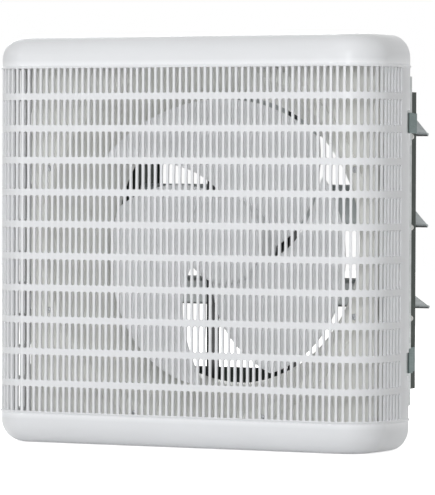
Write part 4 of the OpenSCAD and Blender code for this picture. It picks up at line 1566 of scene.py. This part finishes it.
@dataclass
class Shutter:
    """The square shutter frame with its vanes, tie bar, clips, rivets and bushes."""

    bench: Bench
    at: Layout
    frame_lip: float = 2.4
    vane_gap: float = 2.5
    hem: float = 1.3
    # thickness of the dark strip that paints the shadow line under each vane's hem
    strip: float = 0.5
    link: float = 1.6
    link_half: float = 3.0
    clip: float = 1.4

    def member(self, name: str) -> Piece:
        """Fold one frame member on the +X side, mitred at both ends.

        Args:
            name: the piece's name.

        Returns:
            The member.
        """
        at = self.at
        s, i, h, f, e, t = at.sleeve_in, at.frame_in, at.frame_half, at.frame_front, at.frame_rear, at.sheet
        inner = i - self.frame_lip
        channel = [(s, f), (s, f + t), (h, f + t), (h, e), (inner, e), (inner, e - t), (i, e - t), (i, f)]
        obj = self.bench.prism(name, channel, -1.0, 1.0)
        for vert in obj.data.vertices:
            vert.co.z = math.copysign(vert.co.x, vert.co.z)
        obj.data.update()
        return obj

    def frame(self) -> None:
        """Build the four members and the sill."""
        bench, at = self.bench, self.at
        i, t = at.frame_in, at.sheet
        side = self.member("member_right")
        rounds = [(at.bush, at.hinge_y, z, 36) for z in at.hinges]
        rounds += [(at.rivet_shank, at.frame_rear - at.rivet_in, z, 20) for z in at.rivet_levels]
        bench.cut(side, *[bench.rod("hole", r, i - 3, i + 6, "X", (y, z), n) for r, y, z, n in rounds])
        bench.soften(side, 0.5, 3)
        left = bench.copy(side, mirror("X"))
        left.name = "member_left"
        bench.finish(side, Slot.SHUTTER, "frame_right")
        bench.finish(left, Slot.SHUTTER, "frame_left")
        top = bench.transform(bench.soften(self.member("member_top"), 0.5, 3), turned(-90, "Y"))
        bench.finish(top, Slot.SHUTTER, "frame_top")
        low = bench.transform(bench.soften(self.member("member_bottom"), 0.5, 3), turned(90, "Y"))
        rise, y = at.hinges[2] - at.vane_long - 9, at.hinge_y - 9
        stop = [(y, -i), (y + t, -i), (y + t, rise - t), (y + 4, rise - t), (y + 4, rise), (y, rise)]
        sill = bench.soften(bench.prism("sill", stop, -i, i, "X"), 0.4, 3)
        bench.finish(bench.join("member_bottom", [low, sill]), Slot.SHUTTER, "frame_bottom")

    def vane(self, name: str, hinge: float, turn: float, up: float, reach: float, body: Body) -> None:
        """Build one vane and a dark strip that paints the shadow line under its hem, in the hanging pose, and
        turn them open.

        Args:
            name: top, middle or bottom.
            hinge: height of its hinge.
            turn: opening in degrees.
            up: height of the plate above the hinge.
            reach: radius of the crank.
            body: the body that it rides on.
        """
        bench, at = self.bench, self.at
        x, h, n = at.vane_x, at.vane_sheet / 2, at.vane_long
        e, end = at.vane_sheet * self.hem, at.frame_half + 0.4
        section = [(-h, -6), (-h, 3.5 - n), (-e, 2.8 - n), (-e, 0.5 - n), (0.5 - e, -n), (e - 0.5, -n),
                   (e, 0.5 - n), (e, 2.8 - n), (h, 3.5 - n), (h, -6)]
        shapes = ((bench.prism("plate", section, -x, x, "X"), 0.2),
                  (bench.block("edge", (-x, -h, -6.5), (x - 6, h, up)), 0.25),
                  (bench.rod("roll", 2.8, -x, x - 6, "X", steps=28), 0.3),
                  (bench.rod("pin", at.pin, -end, end, "X", steps=24), 0.3),
                  (bench.block("arm", (x - 8, -reach, -1.5), (x - 6, 0, 1.5)), 0.3),
                  (bench.rod("eye", 3.0, x - 8, x - 6, "X", (-reach, 0), 28), 0.3),
                  (bench.rod("peg", at.crank_peg, x - 7, x - 2, "X", (-reach, 0), 20), 0.25))
        leaf = bench.join("leaf_" + name, [bench.soften(shape, edge) for shape, edge in shapes])
        opened = shift(0, at.hinge_y, hinge) @ turned(turn, "X")
        bench.finish(bench.transform(leaf, opened), Slot.VANE, "vane_" + name, body=body)
        # Painted shade: a thin dark strip in the rubber finish along the hem's free edge stands in for the
        # shadow line under the hem.
        strip = bench.block("strip_" + name, (0.4 - x, -e - self.strip, 0.3 - n),
                            (x - 0.4, 0.02 - e, 3.0 - n))
        bench.finish(bench.transform(bench.soften(strip, 0.2), opened), Slot.RUBBER, body=body)

    def vanes(self) -> None:
        """Build the three vanes."""
        at = self.at
        up = at.hinge_pitch - at.vane_long - self.vane_gap
        low = at.vane_open * at.low_ratio
        reach = at.crank * math.sin(math.radians(at.vane_open)) / math.sin(math.radians(low))
        top, middle, bottom = at.hinges
        self.vane("top", top, at.vane_open, 2.0, at.crank, Body.VANE_TOP)
        self.vane("middle", middle, at.vane_open, up, at.crank, Body.VANE_MIDDLE)
        self.vane("bottom", bottom, low, up, reach, Body.VANE_BOTTOM)

    def tie_bar(self) -> None:
        """Build the bar that links the vanes, with its long foot on the bottom crank."""
        bench, at, half = self.bench, self.at, self.link_half
        x, pitch, swing = at.vane_x - 5.4, at.hinge_pitch, math.radians(at.vane_open)
        right, end, r = x + self.link, -2 * pitch, at.crank_peg + at.gap
        bar = bench.block("link", (x, -half, end), (right, half, 0))
        bench.cut(bar, bench.rod("end", half, x, right, "X"), how="UNION")
        bench.cut(bar, bench.block("foot", (x, -half, end - 4), (right, 7, end + 4)), how="UNION")
        holes = [bench.rod("hole", r, x - 1, x + 3, "X", (0, z), 24) for z in (0, -pitch)]
        bench.cut(bar, *holes, bench.block("slot", (x - 1, -0.9, end - 2.2), (x + 3, 5, end + 2.2)))
        bench.transform(bench.soften(bar, 0.3), shift(0, at.hinge_y - at.crank * math.cos(swing),
                                                      at.hinge_z - at.crank * math.sin(swing)))
        bench.finish(bar, Slot.SHUTTER, "tie_bar", body=Body.TIE_BAR)

    def clips(self) -> None:
        """Fold the Z-shaped steel clips, each with two ribs."""
        bench, at = self.bench, self.at
        x, e, s, t, wall = at.frame_half, at.frame_rear, at.sleeve_half + 0.1, at.sleeve_end + 0.6, self.clip
        parts = []
        for front, rear, low, high in ((t - 9.6, e - 0.6, 114.5, 136.0), (t - 7.6, e - 3.0, -140.0, -114.0)):
            fold = [(x, t), (s, t), (s, front), (s + wall, front), (s + wall, t + wall), (x + wall, t + wall),
                    (x + wall, rear), (x, rear)]
            clip = bench.prism("clip", fold, low, high)
            for level in (low + 7, high - 7):
                rib = bench.block("rib", (x + 1.2, t + 5.4, level - 1.2), (x + 2.2, rear - 4, level + 1.2))
                parts.append(bench.soften(rib, 0.4))
            parts.append(bench.soften(clip, 0.5, 3))
        bench.finish(bench.pair("clips", bench.join("clip", parts)), Slot.CLIP, "frame_clips")

    def buttons(self, name: str, node: str, section: Outline, steps: int, places: Sequence[Place]) -> None:
        """Spin a small round piece and set it on both sides of the frame, its front outward.

        Args:
            name: the joined piece's name.
            node: the CAD node that it stands for.
            section: its section, as distance from its axis and height over its seat.
            steps: steps of the spin.
            places: its seats on the right side.
        """
        first = self.bench.lathe("button", section, steps)
        half = self.bench.spread(name, first, [shift(*place) @ turned(-90, "Z") for place in places])
        self.bench.finish(self.bench.pair(name, half), Slot.NYLON, node)

    def build(self) -> None:
        """Build the shutter's pieces."""
        at = self.at
        self.frame()
        self.vanes()
        self.tie_bar()
        self.clips()
        shank, r = at.rivet_shank, at.pin + at.gap
        rivet = [(0, 3.0), (1.0, 2.9), (2.0, 2.5), (2.7, 1.8), (3.1, 0.9), (3.2, 0), (shank, 0),
                 (shank, -2.2), (0, -2.2)]
        self.buttons("rivets", "frame_rivets", rivet, 28,
                     [(at.frame_half, at.frame_rear - at.rivet_in, z) for z in at.rivet_levels])
        bush = [(r, -1.4), (4.4, -1.4), (4.4, 0), (at.bush, 0), (at.bush, 1.8), (at.bush - 0.4, 2.2),
                (r + 0.3, 2.2), (r, 1.9)]
        self.buttons("bushes", "hinge_bushes", bush, 36, [(at.frame_in, at.hinge_y, z) for z in at.hinges])


@dataclass
class Studio:
    """Plain pale floor, soft lamps and the camera of the photograph."""

    floor_level: float = -0.2155
    floor_size: float = 14.0
    floor_grey: float = 0.92
    floor_glow: float = 0.78
    ambient: float = 0.33
    sky: Colour = (1.0, 0.995, 0.97, 1.0)
    cool: Place = (0.965, 0.98, 1.0)
    camera_place: Place = (2.13189, -3.95458, 0.07544)
    camera_turn: float = 28.3145
    camera_tilt: float = 1.0551
    camera_roll: float = 0.2406
    lens: float = 309.29

    def world(self) -> None:
        """Set an even pale sky that shows white."""
        world = bpy.data.worlds.new("studio")
        bpy.context.scene.world = world
        g = Graph(world, empty=True)
        light = g.add("ShaderNodeBackground", {"Color": self.sky, "Strength": self.ambient})
        white = g.add("ShaderNodeBackground", {"Color": WHITE, "Strength": 1.0})
        both = g.add("ShaderNodeMixShader", {0: g.seen(), 1: light, 2: white})
        g.add("ShaderNodeOutputWorld", {"Surface": both})

    def floor(self) -> None:
        """Lay the floor just under the fan. It keeps the shadow and shows nearly white."""
        bpy.ops.object.select_all(action="DESELECT")
        bpy.ops.mesh.primitive_plane_add(size=self.floor_size, location=(0, 0, self.floor_level))
        obj = active()
        obj.name = "floor"
        material = bpy.data.materials.new("floor")
        g = Graph(material, empty=True)
        diffuse = g.add("ShaderNodeBsdfDiffuse", {"Color": (*3 * (self.floor_grey,), 1.0)})
        strength = g.add("ShaderNodeMath", {0: g.seen(), 1: self.floor_glow}, operation="MULTIPLY")
        glow = g.add("ShaderNodeEmission", {"Color": WHITE, "Strength": strength})
        both = g.add("ShaderNodeAddShader", {0: diffuse, 1: glow})
        g.add("ShaderNodeOutputMaterial", {"Surface": both})
        obj.data.materials.append(material)

    def lamp(self, name: str, place: Place, size: float, power: float, tone: Place = (1.0, 1.0, 1.0)) -> None:
        """Hang a square soft lamp that faces the fan.

        Args:
            name: the lamp's name.
            place: where it hangs, in metres.
            size: its side.
            power: watts.
            tone: the light's colour.
        """
        light = bpy.data.lights.new(name, "AREA")
        light.shape = "SQUARE"
        light.size = size
        light.energy = power
        light.color = tone
        obj = bpy.data.objects.new(name, light)
        obj.location = place
        obj.rotation_euler = (-Vector(place)).to_track_quat("-Z", "Y").to_euler()
        bpy.context.scene.collection.objects.link(obj)

    def camera(self) -> None:
        """Set the camera where the photograph was taken from."""
        turn, tilt = math.radians(self.camera_turn), math.radians(self.camera_tilt)
        look = Vector((-math.sin(turn) * math.cos(tilt), math.cos(turn) * math.cos(tilt), -math.sin(tilt)))
        data = bpy.data.cameras.new("camera")
        data.lens = self.lens
        data.sensor_width = 36.0
        data.clip_start, data.clip_end = 0.1, 60.0
        obj = bpy.data.objects.new("camera", data)
        obj.location = self.camera_place
        facing = look.to_track_quat("-Z", "Y").to_matrix().to_4x4()
        obj.rotation_euler = (facing @ turned(self.camera_roll, "Z")).to_euler()
        bpy.context.scene.collection.objects.link(obj)
        bpy.context.scene.camera = obj

    def build(self) -> None:
        """Build the studio."""
        bpy.context.scene.view_settings.view_transform = "Standard"
        self.world()
        self.floor()
        self.lamp("key", (1.7, -3.9, 0.7), 0.7, 66.0, self.cool)
        self.lamp("top", (1.0, -2.2, 3.0), 2.2, 40.0)
        self.lamp("fill", (-2.3, -3.2, 0.2), 1.4, 26.0, self.cool)
        self.lamp("back", (-1.6, 2.2, 1.4), 1.6, 50.0)
        self.camera()


def dress_cad_nodes(bench: Bench) -> None:
    """Give every CAD node the finish of its slot in the record.

    Args:
        bench: holds the materials.
    """
    slots = {row["node"]: Slot(row["material_slot"]) for row in frame["record"]["subparts"]}
    for name, obj in frame["nodes"].items():
        obj.data.materials.clear()
        obj.data.materials.append(bench.materials[slots[name]])


def main() -> None:
    """Build the studio and every sub-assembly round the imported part."""
    logging.basicConfig(level=logging.INFO, format="%(message)s")
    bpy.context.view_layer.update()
    Studio().build()
    bench = Bench()
    dress_cad_nodes(bench)
    layout = Layout()
    for group in (Cover(bench), AirPath(bench, layout), Wheel(bench), Drive(bench, layout),
                  Electrics(bench, layout), Shutter(bench, layout)):
        group.build()


if __name__ == "__main__":
    main()
